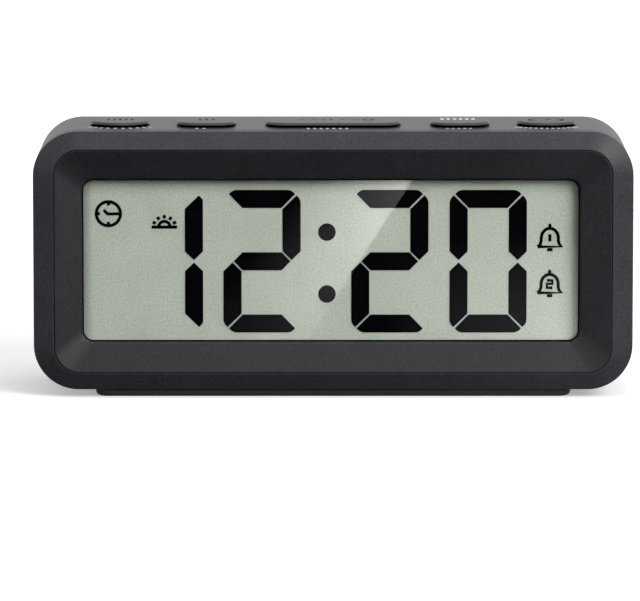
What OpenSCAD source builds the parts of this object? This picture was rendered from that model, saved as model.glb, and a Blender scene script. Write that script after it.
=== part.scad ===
// Small battery-powered digital alarm clock that stands on a low foot.
// X runs to the right seen from the front, the display faces -Y and Z is up.
// The origin is under the middle of the clock, on the surface that it stands on.

/* [Case] */
// Overall width of the case
case_w = 120; // [114:0.5:130]
// Height of the case above its foot
case_h = 52; // [50:0.5:58]
// Overall depth, from the front ridge to the back
case_d = 33.5; // [32:0.5:40]
// Corner radius of the case seen from the front
corner_r = 9; // [8.5:0.25:10]
// Wall thickness of the rear case
wall = 2; // [1.6:0.1:2.2]
// Rounding of the edge around the back
back_round = 1.5; // [0.6:0.1:2.5]
// Shadow gap between the front bezel and the rear case
case_seam = 0.3; // [0.1:0.05:0.6]

/* [Front bezel] */
// Width of the sloping border at the left and the right
border_side = 4.25; // [3.5:0.05:5]
// Width of the sloping border at the top and the bottom
border_top = 3.6; // [3:0.05:4.5]
// How far the ridge stands in front of the border's outer edge
border_rise = 2; // [1:0.1:3]
// Corner radius of the ridge
ridge_r = 5; // [4:0.25:6]
// Flat land on the ridge beside its seam
ridge_land = 0.2; // [0.1:0.05:0.4]
// Gap between the bezel and the display surround, along the ridge
ridge_seam = 0.2; // [0.1:0.05:0.4]
// Straight band of the bezel behind its border
bezel_band = 2.5; // [2:0.1:3.5]
// Width of the shelf that the display surround rests on
shelf_w = 1.6; // [1.2:0.1:2]
// Thickness of that shelf
shelf_t = 1.5; // [1.2:0.1:2]
// Thickness of the tongue that enters the rear case
tongue_t = 1; // [0.8:0.1:1.2]
// Length of the tongue behind the parting plane
tongue_l = 1.8; // [1.2:0.1:3]
// Clearance around the tongue
tongue_fit = 0.15; // [0.05:0.05:0.25]

/* [Display surround] */
// Width of the slope from the ridge to the window, left
slope_left = 5.7; // [5:0.1:7]
// Width of the slope from the ridge to the window, right
slope_right = 6.4; // [5:0.1:7]
// Width of the slope from the ridge to the window, top and bottom
slope_top = 6; // [5:0.1:7]
// How far the window's edge lies behind the ridge
window_drop = 2; // [1:0.1:2.6]
// Corner radius of the window
window_r = 2.3; // [1:0.1:3]
// Thickness of the panel at the window
panel_t = 0.8; // [0.8:0.1:1.6]
// Depth of the straight rim that sits in the bezel
rim_t = 2; // [1.6:0.1:2.6]
// Clearance between the panel's back and the shelf
panel_fit = 0.3; // [0.2:0.05:0.5]

/* [Display] */
// Thickness of the clear window
lens_t = 1; // [0.8:0.1:1.5]
// How far the window reaches behind the surround
lens_lap = 1.5; // [1:0.1:1.8]
// Air gap between the window and the display glass
lens_gap = 0.2; // [0.15:0.05:0.5]
// Thickness of each display glass
glass_t = 0.7; // [0.5:0.1:1.1]
// How far the display glass reaches past the window
glass_lap = 0.5; // [0.3:0.1:0.6]
// Bare ledge of the front glass for the contact strip
contact_ledge = 2.8; // [2.5:0.1:3]
// Thickness of the layer that shows the digits
segment_t = 0.1; // [0.05:0.05:0.2]
// Height of a digit
digit_h = 28.65; // [24:0.25:30]
// Width of a digit
digit_w = 15.35; // [13:0.25:16]
// Width of a digit's strokes
stroke = 3.5; // [2.5:0.1:4]
// Gap between strokes
stroke_gap = 0.43; // [0.2:0.05:0.6]
// Cut at the outer corners of a digit
digit_corner = 1.9; // [1:0.1:2.5]
// Distance between the two digits of a pair
digit_pitch = 19.7; // [17.5:0.1:21]
// Distance between the inner digits, across the colon
colon_pitch = 25.6; // [22:0.1:27]
// Diameter of the colon's dots
colon_d = 3.4; // [2.5:0.1:4]
// Distance between the colon's dots
colon_gap = 12.5; // [9:0.5:14]
// How far the digits sit left of the window's middle
digits_left = 0.9; // [0:0.1:1.5]
// How far the digits sit below the window's middle
digits_down = 0.4; // [0:0.05:1]
// Thickness of the light guide
guide_t = 2; // [1.5:0.1:2.5]
// Wall of the frame around the display
frame_wall = 0.6; // [0.5:0.05:0.7]
// Clearance between the frame and the glass
frame_fit = 0.1; // [0.05:0.05:0.15]
// Width of the contact strip
zebra_w = 2; // [1.5:0.1:2.2]

/* [Boards] */
// Thickness of the printed boards
board_t = 1.2; // [0.8:0.1:1.6]
// Gap between the light guide and the main board
board_gap = 0.3; // [0.1:0.05:0.5]
// Inset of the main board's screws from the ridge
board_screw_inset = 1.55; // [1.4:0.05:1.8]
// Vertical distance between the main board's screws
board_screw_pitch = 20; // [14:1:24]
// Radius of the posts that carry the main board
board_post_r = 2; // [1.6:0.1:2.1]
// Base radius of the sealed controller
chip_r = 6; // [4:0.5:8]
// Height of the sealed controller
chip_h = 1.6; // [1:0.1:2.5]
// Diameter of the quartz crystal's can
crystal_d = 2.1; // [1.5:0.1:3]
// Length of the quartz crystal's can
crystal_l = 6.2; // [5:0.1:8]
// Diameter of the capacitor
capacitor_d = 5; // [4:0.1:6.5]
// Height of the capacitor
capacitor_h = 5.4; // [4:0.1:8]
// Depth of the button board, front to back
button_board_d = 12.2; // [11:0.1:14]
// Distance from the case's top wall down to the button board
button_board_drop = 7; // [6.2:0.1:8]

/* [Buttons] */
// Depth of a button, front to back
button_d = 8.4; // [7:0.1:9]
// Length of a small button
small_button_l = 11.4; // [9.5:0.1:12.5]
// Length of the snooze bar
snooze_l = 26.7; // [20:0.1:32]
// Distance of the outer buttons from the case's sides
outer_button_inset = 17.1; // [17:0.1:19]
// Place of the inner buttons, as a share of the way to the outer ones
inner_button_share = 0.595; // [0.58:0.005:0.605]
// Distance of the button row behind the bezel's outer edge
button_back = 12.75; // [12:0.25:14]
// Height of the buttons above the case
button_proud = 1.1; // [0.6:0.1:2]
// Rounding around a button's top
button_round = 0.6; // [0.3:0.1:1]
// Gap around a button in its opening
button_gap = 0.3; // [0.2:0.05:0.4]
// Wall of a button's cap
button_wall = 1.2; // [0.8:0.1:1.5]
// Width of the flange that holds a button in
flange_w = 1.1; // [0.8:0.1:1.2]
// Thickness of that flange
flange_t = 1; // [0.8:0.1:1.4]
// Play of the flange under the top wall
flange_play = 0.1; // [0.05:0.05:0.2]
// Travel of a button
button_travel = 0.5; // [0.3:0.05:0.6]
// Diameter of a button's stem
stem_d = 3.2; // [2.6:0.1:3.4]
// Width of a switch
switch_w = 6; // [5:0.1:6.2]
// Height of a switch
switch_h = 3.4; // [3:0.1:4]
// Diameter of a switch's plunger
plunger_d = 3.4; // [2.8:0.1:4]
// Height of the plunger above its switch
plunger_proud = 1; // [0.8:0.1:1.2]
// Radial clearance of the plunger
plunger_fit = 0.05; // [0.02:0.01:0.1]

/* [Batteries] */
// Diameter of a cell
cell_d = 10.5; // [10:0.1:10.8]
// Length of a cell
cell_l = 44.5; // [43:0.1:45]
// Room around the cells
cell_fit = 0.3; // [0.2:0.05:0.4]
// Share of the spare width inside that lies left of the battery tray
tray_share = 0.425; // [0.35:0.005:0.45]
// Wall of the battery tray
tray_wall = 2.2; // [1.8:0.1:2.5]
// Floor of the battery tray
tray_floor = 1.5; // [1.2:0.1:2]
// Length of a compressed battery spring
spring_l = 5.1; // [4.6:0.1:6]
// Turns of a battery spring
spring_turns = 4; // [3:0.5:4.5]
// Wire of a battery spring
spring_wire = 0.7; // [0.5:0.05:0.8]
// Radius of a battery spring at its plate
spring_r = 3.5; // [3:0.1:4]
// Radius of a battery spring at its cell
spring_tip_r = 2.2; // [1.8:0.1:2.6]
// Thickness of a contact plate
contact_t = 0.4; // [0.3:0.05:0.6]
// Width of a contact plate
contact_w = 8; // [6:0.5:9]
// Width of the ledge that the battery door rests on
door_ledge = 1.2; // [1:0.1:1.5]
// Gap around the battery door
door_gap = 0.25; // [0.15:0.05:0.35]
// Width of the door's finger tab
tab_w = 14; // [10:1:20]
// Height of the door's finger tab
tab_h = 3; // [2:0.1:4]
// Width of a door hook
hook_w = 6; // [4:0.5:8]
// Reach of a door hook under the case's wall
hook_l = 2.2; // [1.5:0.1:2.5]
// Thickness of a door hook
hook_t = 1.2; // [0.8:0.1:1.4]
// Distance of the hooks from the door's middle
hook_x = 16; // [10:1:20]

/* [Sounder] */
// Diameter of the sounder's plate
buzzer_d = 27; // [20:0.5:29]
// Thickness of the sounder's plate
buzzer_t = 0.3; // [0.2:0.05:0.5]
// Diameter of the sounder's ceramic disc
ceramic_d = 19; // [12:0.5:20]
// Thickness of the ceramic disc
ceramic_t = 0.25; // [0.15:0.05:0.4]
// Share of the spare width inside that lies right of the sounder
buzzer_share = 0.31; // [0.25:0.005:0.33]
// Height of the ring that carries the sounder
buzzer_seat_h = 2.5; // [1.5:0.1:4]
// Diameter of a sound hole
sound_hole_d = 2; // [1:0.1:2.6]
// Radius of the circle of sound holes
sound_circle_r = 5.5; // [4:0.1:8]
// Diameter of the connecting wires
lead_d = 1.1; // [0.8:0.1:1.3]

/* [Screws] */
// Inset of the case screws from the outer edges
screw_inset = 6.3; // [6.1:0.1:6.5]
// Radius of the rear case's screw pillars
pillar_r = 3; // [2.8:0.1:3.1]
// Radius of the bezel's screw posts
corner_post_r = 2.2; // [2:0.05:2.25]
// Length of the bezel's screw posts
corner_post_l = 6.25; // [5:0.25:7]
// Radius of a case screw's shank
screw_r = 0.95; // [0.8:0.05:1.1]
// Radius of a case screw's head
screw_head_r = 1.7; // [1.5:0.05:1.8]
// Radius of a board screw's shank
board_screw_r = 0.8; // [0.7:0.05:0.9]
// Radius of a board screw's head
board_screw_head_r = 1.6; // [1.4:0.05:1.8]

/* [Foot] */
// Height of the foot
foot_h = 1.6; // [1.3:0.1:3]
// Length of the foot
foot_l = 94; // [80:1:100]
// Depth of the foot, front to back
foot_d = 24.5; // [18:0.5:25]
// Corner radius of the foot seen from above
foot_r = 2.5; // [1.5:0.1:5]
// Rounding of the foot's lower edge
foot_round = 1; // [0.4:0.1:1.2]
// Distance of the foot behind the bezel's outer edge
foot_back = 3.2; // [3:0.1:6]
// Radius of the pegs that hold the foot
peg_r = 2; // [1.5:0.1:3]
// Distance of the pegs from the middle
peg_x = 30; // [20:1:36]

/* [Hidden] */
$fn = 64;
eps = 0.01;
past = 1;
slice = 0.02;

// Levels in the front view, where z points at the viewer and zero is the case's middle
front_z = case_d / 2;
edge_z = front_z - border_rise;
part_z = edge_z - bezel_band;
back_z = -case_d / 2;
back_in_z = back_z + wall;
rear_rim_z = part_z - case_seam;
window_z = front_z - window_drop;
shelf_z = front_z - rim_t;
shelf_back_z = shelf_z - shelf_t;
lens_z = window_z - panel_t;
lens_back_z = lens_z - lens_t;
glass_z = lens_back_z - lens_gap;
segment_z = glass_z - glass_t;
rear_glass_z = segment_z - segment_t;
guide_z = rear_glass_z - glass_t;
guide_back_z = guide_z - guide_t;
board_z = guide_back_z - board_gap;
board_back_z = board_z - board_t;
post_end_z = shelf_back_z - corner_post_l;

// Heights above the standing surface
case_mid_z = foot_h + case_h / 2;
case_top_z = foot_h + case_h;
top_in_z = case_top_z - wall;

// Front view of the bezel, the surround and the window
ridge_w = case_w - 2 * border_side;
ridge_h = case_h - 2 * border_top;
opening_w = ridge_w + ridge_seam;
opening_h = ridge_h + ridge_seam;
panel_w = ridge_w - ridge_seam;
panel_h = ridge_h - ridge_seam;
window_w = ridge_w - slope_left - slope_right;
window_h = ridge_h - 2 * slope_top;
window_x = (slope_left - slope_right) / 2;
lens_w = window_w + 2 * lens_lap;
lens_h = window_h + 2 * lens_lap;
seat_w = lens_w + 2 * panel_fit;
seat_h = lens_h + 2 * panel_fit;
tongue_out = wall + tongue_fit;
tongue_in = tongue_out + tongue_t;

// Display glass
glass_w = window_w + 2 * glass_lap;
glass_h = window_h + 2 * glass_lap;
ledge_y = -glass_h / 2 - contact_ledge;
frame_out = frame_fit + frame_wall;
led_w = 3;
led_d = 1.2;
led_h = 1.5;
led_room = 0.3;

// Fasteners
screw_x = case_w / 2 - screw_inset;
screw_y = case_h / 2 - screw_inset;
board_screw_x = ridge_w / 2 - board_screw_inset;
screw_play = 0.05;
screw_clear = 0.25;
screw_grip = 5;
screw_head_t = 1.4;
board_screw_head_t = 1.2;
board_screw_grip = 3.4;
hole_spare = 0.5;
head_room = 0.3;
pillar_end_t = 2;
screw_seat_z = post_end_z - pillar_end_t;
drive_w = 0.6;
drive_l = 1.8;
drive_t = 0.6;

// Main board, with ears for its screws and notches for the corner posts
board_notch_gap = 0.3;
board_half_w = screw_x - pillar_r - board_notch_gap;
ear_past = 2.5;
ear_margin = 0.2;
board_ear_h = board_screw_pitch + 2 * ear_past;
board_ear_w = 2 * (board_screw_x + board_screw_head_r + ear_margin);
board_low_y = ledge_y - frame_out;
board_high_y = glass_h / 2 + frame_out;
chip_x = -6;
crystal_x = 22;
crystal_y = -10;
crystal_gap = 0.05;
capacitor_inset = 8.4;
capacitor_x = board_half_w - capacitor_inset;
capacitor_y = 8;

// Buttons, their board and its rails
outer_button_x = case_w / 2 - outer_button_inset;
inner_button_x = outer_button_x * inner_button_share;
button_y = -edge_z + button_back;
cap_top_z = case_top_z + button_proud;
flange_top_z = top_in_z - flange_play;
button_board_z = top_in_z - button_board_drop;
switch_top_z = button_board_z + switch_h;
plunger_top_z = switch_top_z + plunger_proud;
plunger_sunk = 1.7;
rail_gap = 0.6;
rail_x = outer_button_x + small_button_l / 2 + flange_w + rail_gap;
rail_t = 2.2;
rail_groove = 0.9;
rail_fit = 0.1;
rail_lip = 1.3;
board_front_gap = 0.3;
button_board_y = -board_back_z + board_front_gap;
button_board_w = 2 * (rail_x + rail_groove - 2 * rail_fit);
BUTTON_X = [-outer_button_x, -inner_button_x, 0, inner_button_x, outer_button_x];
BUTTON_L = [small_button_l, small_button_l, snooze_l, small_button_l, small_button_l];

// Battery tray, cells and door, beside the sounder's seat
buzzer_fit = 0.15;
buzzer_lip_t = 1.2;
cell_gap = 0.4;
end_play = 0.2;
tray_h = 2 * cell_d + cell_gap + 2 * cell_fit;
tray_l = cell_l + spring_l + 2 * contact_t + end_play;
tray_depth = cell_d + 2 * cell_fit;
seat_r = buzzer_d / 2 + buzzer_fit + buzzer_lip_t;
inner_w = case_w - 2 * wall;
spare_w = inner_w - tray_l - 2 * tray_wall - 2 * seat_r;
tray_left = -inner_w / 2 + spare_w * tray_share + tray_wall;
tray_right = tray_left + tray_l;
tray_mid = (tray_left + tray_right) / 2;
tray_floor_y = -back_in_z - tray_depth;
cell_y = tray_floor_y + cell_fit + cell_d / 2;
cell_rise = (cell_d + cell_gap) / 2;
nub_r = 2.2;
nub_l = 1;
opening_l = tray_l + 2 * door_ledge;
opening_rise = tray_h + 2 * door_ledge;
door_l = opening_l - 2 * door_gap;
door_h = opening_rise - 2 * door_gap;
door_r = 1.5;
grip_count = 3;
grip_w = 0.6;
grip_pitch = 1.4;
grip_t = 0.4;
hook_gap = 0.25;
hook_room = 0.4;
hinge_z = case_mid_z - opening_rise / 2;
hook_swing = norm([wall + hook_gap + hook_t, hook_l]);
tail_w = 3;
tail_l = 1.2;
tail_room = 0.3;
plate_gap = 0.2;
plate_top_gap = 1.2;
scoop_r = 9;
scoop_depth = 0.8;

// Sounder
buzzer_x = inner_w / 2 - spare_w * buzzer_share - seat_r;
buzzer_land = 1;
buzzer_lip_h = 0.8;
sound_holes = 6;

// Wires to the main board
lead_run = 12;
buzzer_pad_in = 8;
buzzer_pad_rise = 4;
buzzer_bow = 8;

// Foot
foot_y = -edge_z + foot_back + foot_d / 2;
peg_fit = 0.05;

// Digits shown on the display, as the strokes that are dark
ONE = ["b", "c"];
TWO = ["a", "b", "g", "e", "d"];
ZERO = ["a", "b", "c", "d", "e", "f"];

// Turns a front view, drawn with z towards the viewer, upright into its place
module face_on() {
    translate([0, 0, case_mid_z])
        rotate([90, 0, 0])
            children();
}

module rounded_rect(w, h, r) {
    square([w - 2 * r, h], center = true);
    square([w, h - 2 * r], center = true);
    for (sx = [-1, 1], sy = [-1, 1])
        translate([sx * (w / 2 - r), sy * (h / 2 - r)])
            circle(r);
}

// Flat plate with rounded corners between two levels
module plate(w, h, r, z0, z1) {
    translate([0, 0, z0])
        linear_extrude(z1 - z0)
            rounded_rect(w, h, r);
}

// Straight-sided block between two levels
module block(w, h, z0, z1) {
    translate([-w / 2, -h / 2, z0])
        cube([w, h, z1 - z0]);
}

// Half-section of an edge with a rounded lower corner
module soft_edge(reach, round, rise) {
    difference() {
        square([reach, rise]);
        translate([reach - round, 0])
            difference() {
                square(round);
                translate([0, round])
                    circle(round);
            }
    }
}

// Plate that stands on z = 0 with its lower edge rounded all round
module soft_plate(w, h, r, round, rise) {
    for (turn = [0 : 3]) {
        along = turn % 2 == 0 ? h : w;
        across = turn % 2 == 0 ? w : h;
        rotate([0, 0, 90 * turn])
            translate([across / 2 - r, along / 2 - r, 0]) {
                rotate_extrude(angle = 90)
                    soft_edge(r, round, rise);
                rotate([90, 0, 0])
                    linear_extrude(along - 2 * r)
                        soft_edge(r, round, rise);
            }
    }
    block(w - 2 * r, h - 2 * r, 0, rise);
}

// Slot shape with round ends
module obround(l, d) {
    square([l - d, d], center = true);
    for (side = [-1, 1])
        translate([side * (l - d) / 2, 0])
            circle(d = d);
}

// Four places mirrored about the middle
module at_corners(x, y) {
    for (sx = [-1, 1], sy = [-1, 1])
        translate([sx * x, sy * y, 0])
            children();
}

// Pan-head screw with its head below z = 0 and its shank above
module screw(shank_r, shank_l, head_r, head_t) {
    difference() {
        union() {
            cylinder(r = shank_r, h = shank_l);
            translate([0, 0, -head_t])
                cylinder(r = head_r, h = head_t);
        }
        for (turn = [0, 90])
            rotate([0, 0, turn])
                translate([-drive_l / 2, -drive_w / 2, -head_t - past])
                    cube([drive_l, drive_w, drive_t + past]);
    }
}

// Tube through rings of points, closed at both ends
module tube(points, ring) {
    rings = len(points) / ring;
    sides = [
        for (k = [0 : rings - 2], s = [0 : ring - 1])
            let (a = k * ring + s, b = k * ring + (s + 1) % ring)
                each [[a, b, a + ring], [b, b + ring, a + ring]]
    ];
    far = (rings - 1) * ring;
    ends = [for (s = [1 : ring - 2]) each [[0, s + 1, s], [far, far + s, far + s + 1]]];
    polyhedron(points, concat(sides, ends));
}

function unit(v) = v / norm(v);

// Point and direction of a cubic curve through four control points
function curve(p, t) =
    pow(1 - t, 3) * p[0] + 3 * t * pow(1 - t, 2) * p[1] + 3 * t * t * (1 - t) * p[2] + pow(t, 3) * p[3];
function slope_of(p, t) =
    3 * pow(1 - t, 2) * (p[1] - p[0]) + 6 * t * (1 - t) * (p[2] - p[1]) + 3 * t * t * (p[3] - p[2]);

// Insulated wire that leaves one point backwards along Y and meets the other from behind
module lead(from, to, bow) {
    ring = 8;
    steps = 12;
    path = [from, from - [0, bow, 0], to + [0, bow, 0], to];
    tube([
        for (k = [0 : steps], s = [0 : ring - 1])
            let (
                t = k / steps,
                along = unit(slope_of(path, t)),
                side = unit(cross(along, [0, 0, 1])),
                up = cross(side, along),
                turn = 360 * s / ring
            )
                curve(path, t) + lead_d / 2 * (cos(turn) * side + sin(turn) * up)
    ], ring);
}

// Conical battery spring along z, widest at its plate
SPRING_RING = 6;
SPRING_STEPS = 8;
spring_end_gap = 0.02;
spring_end = spring_wire / 2 + spring_end_gap;
function spring_at(t) =
    let (r = spring_r + (spring_tip_r - spring_r) * t, turn = 360 * spring_turns * t)
        [r * cos(turn), r * sin(turn), spring_end + (spring_l - 2 * spring_end) * t];
spring_points = [for (k = [0 : SPRING_STEPS * spring_turns]) spring_at(k / (SPRING_STEPS * spring_turns))];
spring_gaps = [
    for (i = [0 : len(spring_points) - 1], j = [0 : len(spring_points) - 1])
        if (j - i >= SPRING_STEPS / 2)
            norm(spring_points[j] - spring_points[i]) - spring_wire
];
echo(spring_least_gap = min(spring_gaps));

module spring() {
    last = len(spring_points) - 1;
    tube([
        for (k = [0 : last], s = [0 : SPRING_RING - 1])
            let (
                p = spring_points[k],
                along = unit(spring_points[min(k + 1, last)] - spring_points[max(k - 1, 0)]),
                out = unit([p.x, p.y, 0]),
                side = unit(cross(along, out)),
                turn = 360 * s / SPRING_RING
            )
                p + spring_wire / 2 * (cos(turn) * out - sin(turn) * side)
    ], SPRING_RING);
}

// Front moulding: sloping border, shelf for the surround, tongue and screw posts
module front_bezel() {
    land = ridge_seam + 2 * ridge_land;
    color("#2f2f32")
        face_on() {
            difference() {
                union() {
                    plate(case_w, case_h, corner_r, part_z, edge_z);
                    hull() {
                        plate(case_w, case_h, corner_r, edge_z - slice, edge_z, $fn = 48);
                        plate(ridge_w + land, ridge_h + land, ridge_r + land / 2,
                            front_z - slice, front_z, $fn = 48);
                    }
                }
                plate(opening_w, opening_h, ridge_r + ridge_seam / 2, shelf_z, front_z + past);
                plate(opening_w - 2 * shelf_w, opening_h - 2 * shelf_w, ridge_r - shelf_w,
                    part_z - past, shelf_z + past);
                plate(case_w - 2 * tongue_in, case_h - 2 * tongue_in, corner_r - tongue_in,
                    part_z - past, shelf_back_z);
            }
            difference() {
                plate(case_w - 2 * tongue_out, case_h - 2 * tongue_out, corner_r - tongue_out,
                    part_z - tongue_l, part_z + eps);
                plate(case_w - 2 * tongue_in, case_h - 2 * tongue_in, corner_r - tongue_in,
                    part_z - tongue_l - past, part_z + past);
            }
            bezel_post(screw_x, screw_y, corner_post_r, post_end_z, screw_r, screw_grip);
            bezel_post(board_screw_x, board_screw_pitch / 2, board_post_r, board_z,
                board_screw_r, board_screw_grip);
        }
}

// Posts behind the shelf, with blind holes for screws
module bezel_post(x, y, post_r, end_z, shank_r, grip) {
    at_corners(x, y)
        difference() {
            translate([0, 0, end_z])
                cylinder(r = post_r, h = shelf_back_z - end_z + eps);
            translate([0, 0, end_z - past])
                cylinder(r = shank_r + screw_play, h = grip + hole_spare + past);
        }
}

// Dished panel that slopes from the ridge down to the window
module display_surround() {
    color("#2b2b2e")
        face_on()
            difference() {
                union() {
                    plate(panel_w, panel_h, ridge_r - ridge_seam / 2, shelf_z, front_z);
                    hull() {
                        plate(opening_w - 2 * shelf_w - 2 * panel_fit, opening_h - 2 * shelf_w - 2 * panel_fit,
                            ridge_r - shelf_w, shelf_z, shelf_z + slice, $fn = 48);
                        translate([window_x, 0, 0])
                            plate(seat_w, seat_h, window_r, lens_z, lens_z + slice, $fn = 48);
                    }
                }
                hull() {
                    plate(panel_w - 2 * ridge_land, panel_h - 2 * ridge_land, ridge_r - ridge_land,
                        front_z, front_z + slice, $fn = 48);
                    translate([window_x, 0, 0])
                        plate(window_w, window_h, window_r, window_z - slice, window_z, $fn = 48);
                }
                translate([window_x, 0, 0])
                    plate(window_w, window_h, window_r, lens_z - past, front_z);
            }
}

module display_lens() {
    color("#dfe6e6", 0.3)
        face_on()
            translate([window_x, 0, 0])
                plate(lens_w, lens_h, window_r, lens_back_z, lens_z);
}

// Front glass of the display, longer at the bottom where its contacts are
module lcd_front_glass() {
    color("#e4ebe4", 0.3)
        face_on()
            translate([window_x - glass_w / 2, ledge_y, segment_z])
                cube([glass_w, glass_h + contact_ledge, glass_t]);
}

// Stroke outlines of a digit, drawn from its upper left corner
stroke_step = stroke_gap / sqrt(2);
BAR = let (s = stroke_step, c = digit_corner, w = digit_w, t = stroke) [
    [t + s, -t],
    [(c + s) / 2, -(c - s) / 2],
    [c, 0],
    [w - c, 0],
    [w - (c + s) / 2, -(c - s) / 2],
    [w - t - s, -t]
];
POST = let (s = stroke_step, c = digit_corner, t = stroke, m = digit_h / 2) [
    [(c - s) / 2, -(c + s) / 2],
    [t, -t - s],
    [t, -(m - s - t / 2)],
    [t / 2, -(m - s)],
    [0, -(m - s - t / 2)],
    [0, -c]
];
BRIDGE = let (s = stroke_step, w = digit_w, t = stroke, m = digit_h / 2) [
    [t / 2 + s, -m],
    [t + s, -m + t / 2],
    [w - t - s, -m + t / 2],
    [w - t / 2 - s, -m],
    [w - t - s, -m - t / 2],
    [t + s, -m - t / 2]
];

module digit_stroke(name) {
    right = name == "b" || name == "c" ? 1 : 0;
    low = name == "c" || name == "d" || name == "e" ? 1 : 0;
    outline = name == "g" ? BRIDGE : name == "a" || name == "d" ? BAR : POST;
    mirror([right, 0])
        mirror([0, low])
            translate([-digit_w / 2, digit_h / 2])
                polygon(outline);
}

// Dark strokes and dots of the display
module lcd_segments() {
    places = [-colon_pitch / 2 - digit_pitch, -colon_pitch / 2, colon_pitch / 2,
        colon_pitch / 2 + digit_pitch];
    shown = [ONE, TWO, TWO, ZERO];
    color("#101214")
        face_on()
            translate([window_x - digits_left, -digits_down, rear_glass_z])
                linear_extrude(segment_t) {
                    for (k = [0 : len(places) - 1], name = shown[k])
                        translate([places[k], 0])
                            digit_stroke(name);
                    for (side = [-1, 1])
                        translate([0, side * colon_gap / 2])
                            circle(d = colon_d);
                }
}

module lcd_rear_glass() {
    color("#aab3a4")
        face_on()
            translate([window_x, 0, 0])
                block(glass_w, glass_h, guide_z, rear_glass_z);
}

// Frame that holds the display and its light guide on the main board
module lcd_frame() {
    tall = glass_h + contact_ledge;
    color("#e8e8e4")
        face_on()
            translate([window_x, ledge_y + tall / 2, 0])
                difference() {
                    block(glass_w + 2 * frame_out, tall + 2 * frame_out, board_z, lens_back_z);
                    block(glass_w + 2 * frame_fit, tall + 2 * frame_fit, board_z - past, lens_back_z + past);
                }
}

// Clear plate behind the display, notched for a light at each end
module light_guide() {
    color("#f2f4f0")
        face_on()
            translate([window_x, 0, 0])
                difference() {
                    block(glass_w, glass_h, guide_back_z, guide_z);
                    for (side = [-1, 1])
                        translate([side * glass_w / 2, 0, 0])
                            block(2 * (led_d + led_room), led_w + 2 * led_room,
                                guide_back_z - past, guide_z + past);
                }
}

// Contact strip between the front glass and the main board
module zebra_strip() {
    color("#7d7f83")
        face_on()
            translate([window_x, ledge_y + contact_ledge / 2, 0])
                block(glass_w - 2 * contact_ledge, zebra_w, board_z, segment_z);
}

module backlight_leds() {
    color("#f4efd8")
        face_on()
            for (side = [-1, 1])
                translate([window_x + side * (glass_w - led_d) / 2, 0, 0])
                    block(led_d, led_w, board_z, board_z + led_h);
}

module main_board() {
    color("#2c6b3f")
        face_on()
            difference() {
                union() {
                    translate([-board_half_w, board_low_y, board_back_z])
                        cube([2 * board_half_w, board_high_y - board_low_y, board_t]);
                    block(board_ear_w, board_ear_h, board_back_z, board_z);
                }
                at_corners(board_screw_x, board_screw_pitch / 2)
                    translate([0, 0, board_back_z - past])
                        cylinder(r = board_screw_r + screw_clear, h = board_t + 2 * past);
            }
}

// Controller under a drop of sealing resin
module controller_chip() {
    dome_r = (chip_r * chip_r + chip_h * chip_h) / (2 * chip_h);
    color("#17181a")
        face_on()
            translate([chip_x, 0, board_back_z])
                intersection() {
                    translate([0, 0, dome_r - chip_h])
                        sphere(dome_r, $fn = 200);
                    translate([0, 0, -chip_h - past])
                        cylinder(r = chip_r + past, h = chip_h + past);
                }
}

module quartz_crystal() {
    color("#c6c9cc")
        face_on()
            translate([crystal_x, crystal_y, board_back_z - crystal_d / 2 - crystal_gap])
                rotate([0, 90, 0])
                    cylinder(d = crystal_d, h = crystal_l, center = true);
}

module capacitor() {
    color("#26324a")
        face_on()
            translate([capacitor_x, capacitor_y, board_back_z - capacitor_h])
                cylinder(d = capacitor_d, h = capacitor_h);
}

module board_screws() {
    color("#b9bcc0")
        face_on()
            at_corners(board_screw_x, board_screw_pitch / 2)
                translate([0, 0, board_back_z])
                    screw(board_screw_r, board_t + board_screw_grip, board_screw_head_r, board_screw_head_t);
}

module button_board() {
    color("#2c6b3f")
        translate([-button_board_w / 2, button_board_y, button_board_z - board_t])
            cube([button_board_w, button_board_d, board_t]);
}

// Flat cable that bends from the main board to the button board
module ribbon_cable() {
    ribbon_w = 12;
    ribbon_t = 0.3;
    ribbon_x = 4;
    bend_r = 2;
    pad_l = 3;
    corner_y = -board_back_z + bend_r;
    corner_z = button_board_z - board_t - bend_r;
    color("#d8d8d2")
        translate([ribbon_x, 0, 0])
            rotate([90, 0, 90])
                linear_extrude(ribbon_w) {
                    translate([corner_y, corner_z])
                        intersection() {
                            difference() {
                                circle(bend_r);
                                circle(bend_r - ribbon_t);
                            }
                            translate([-bend_r, 0])
                                square(bend_r);
                        }
                    translate([corner_y - bend_r, corner_z - pad_l])
                        square([ribbon_t, pad_l]);
                    translate([corner_y, corner_z + bend_r - ribbon_t])
                        square([pad_l, ribbon_t]);
                }
}

module switch_bodies() {
    color("#3a3c40")
        for (x = BUTTON_X)
            translate([x, button_y, 0])
                difference() {
                    block(switch_w, switch_w, button_board_z, switch_top_z);
                    translate([0, 0, switch_top_z - plunger_sunk - 2 * button_travel])
                        cylinder(d = plunger_d + 2 * plunger_fit, h = switch_h);
                }
}

// Plunger of the switch under one button
module plunger(index) {
    color("#1d1e20")
        translate([BUTTON_X[index], button_y, switch_top_z - plunger_sunk])
            cylinder(d = plunger_d, h = plunger_sunk + plunger_proud);
}

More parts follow.
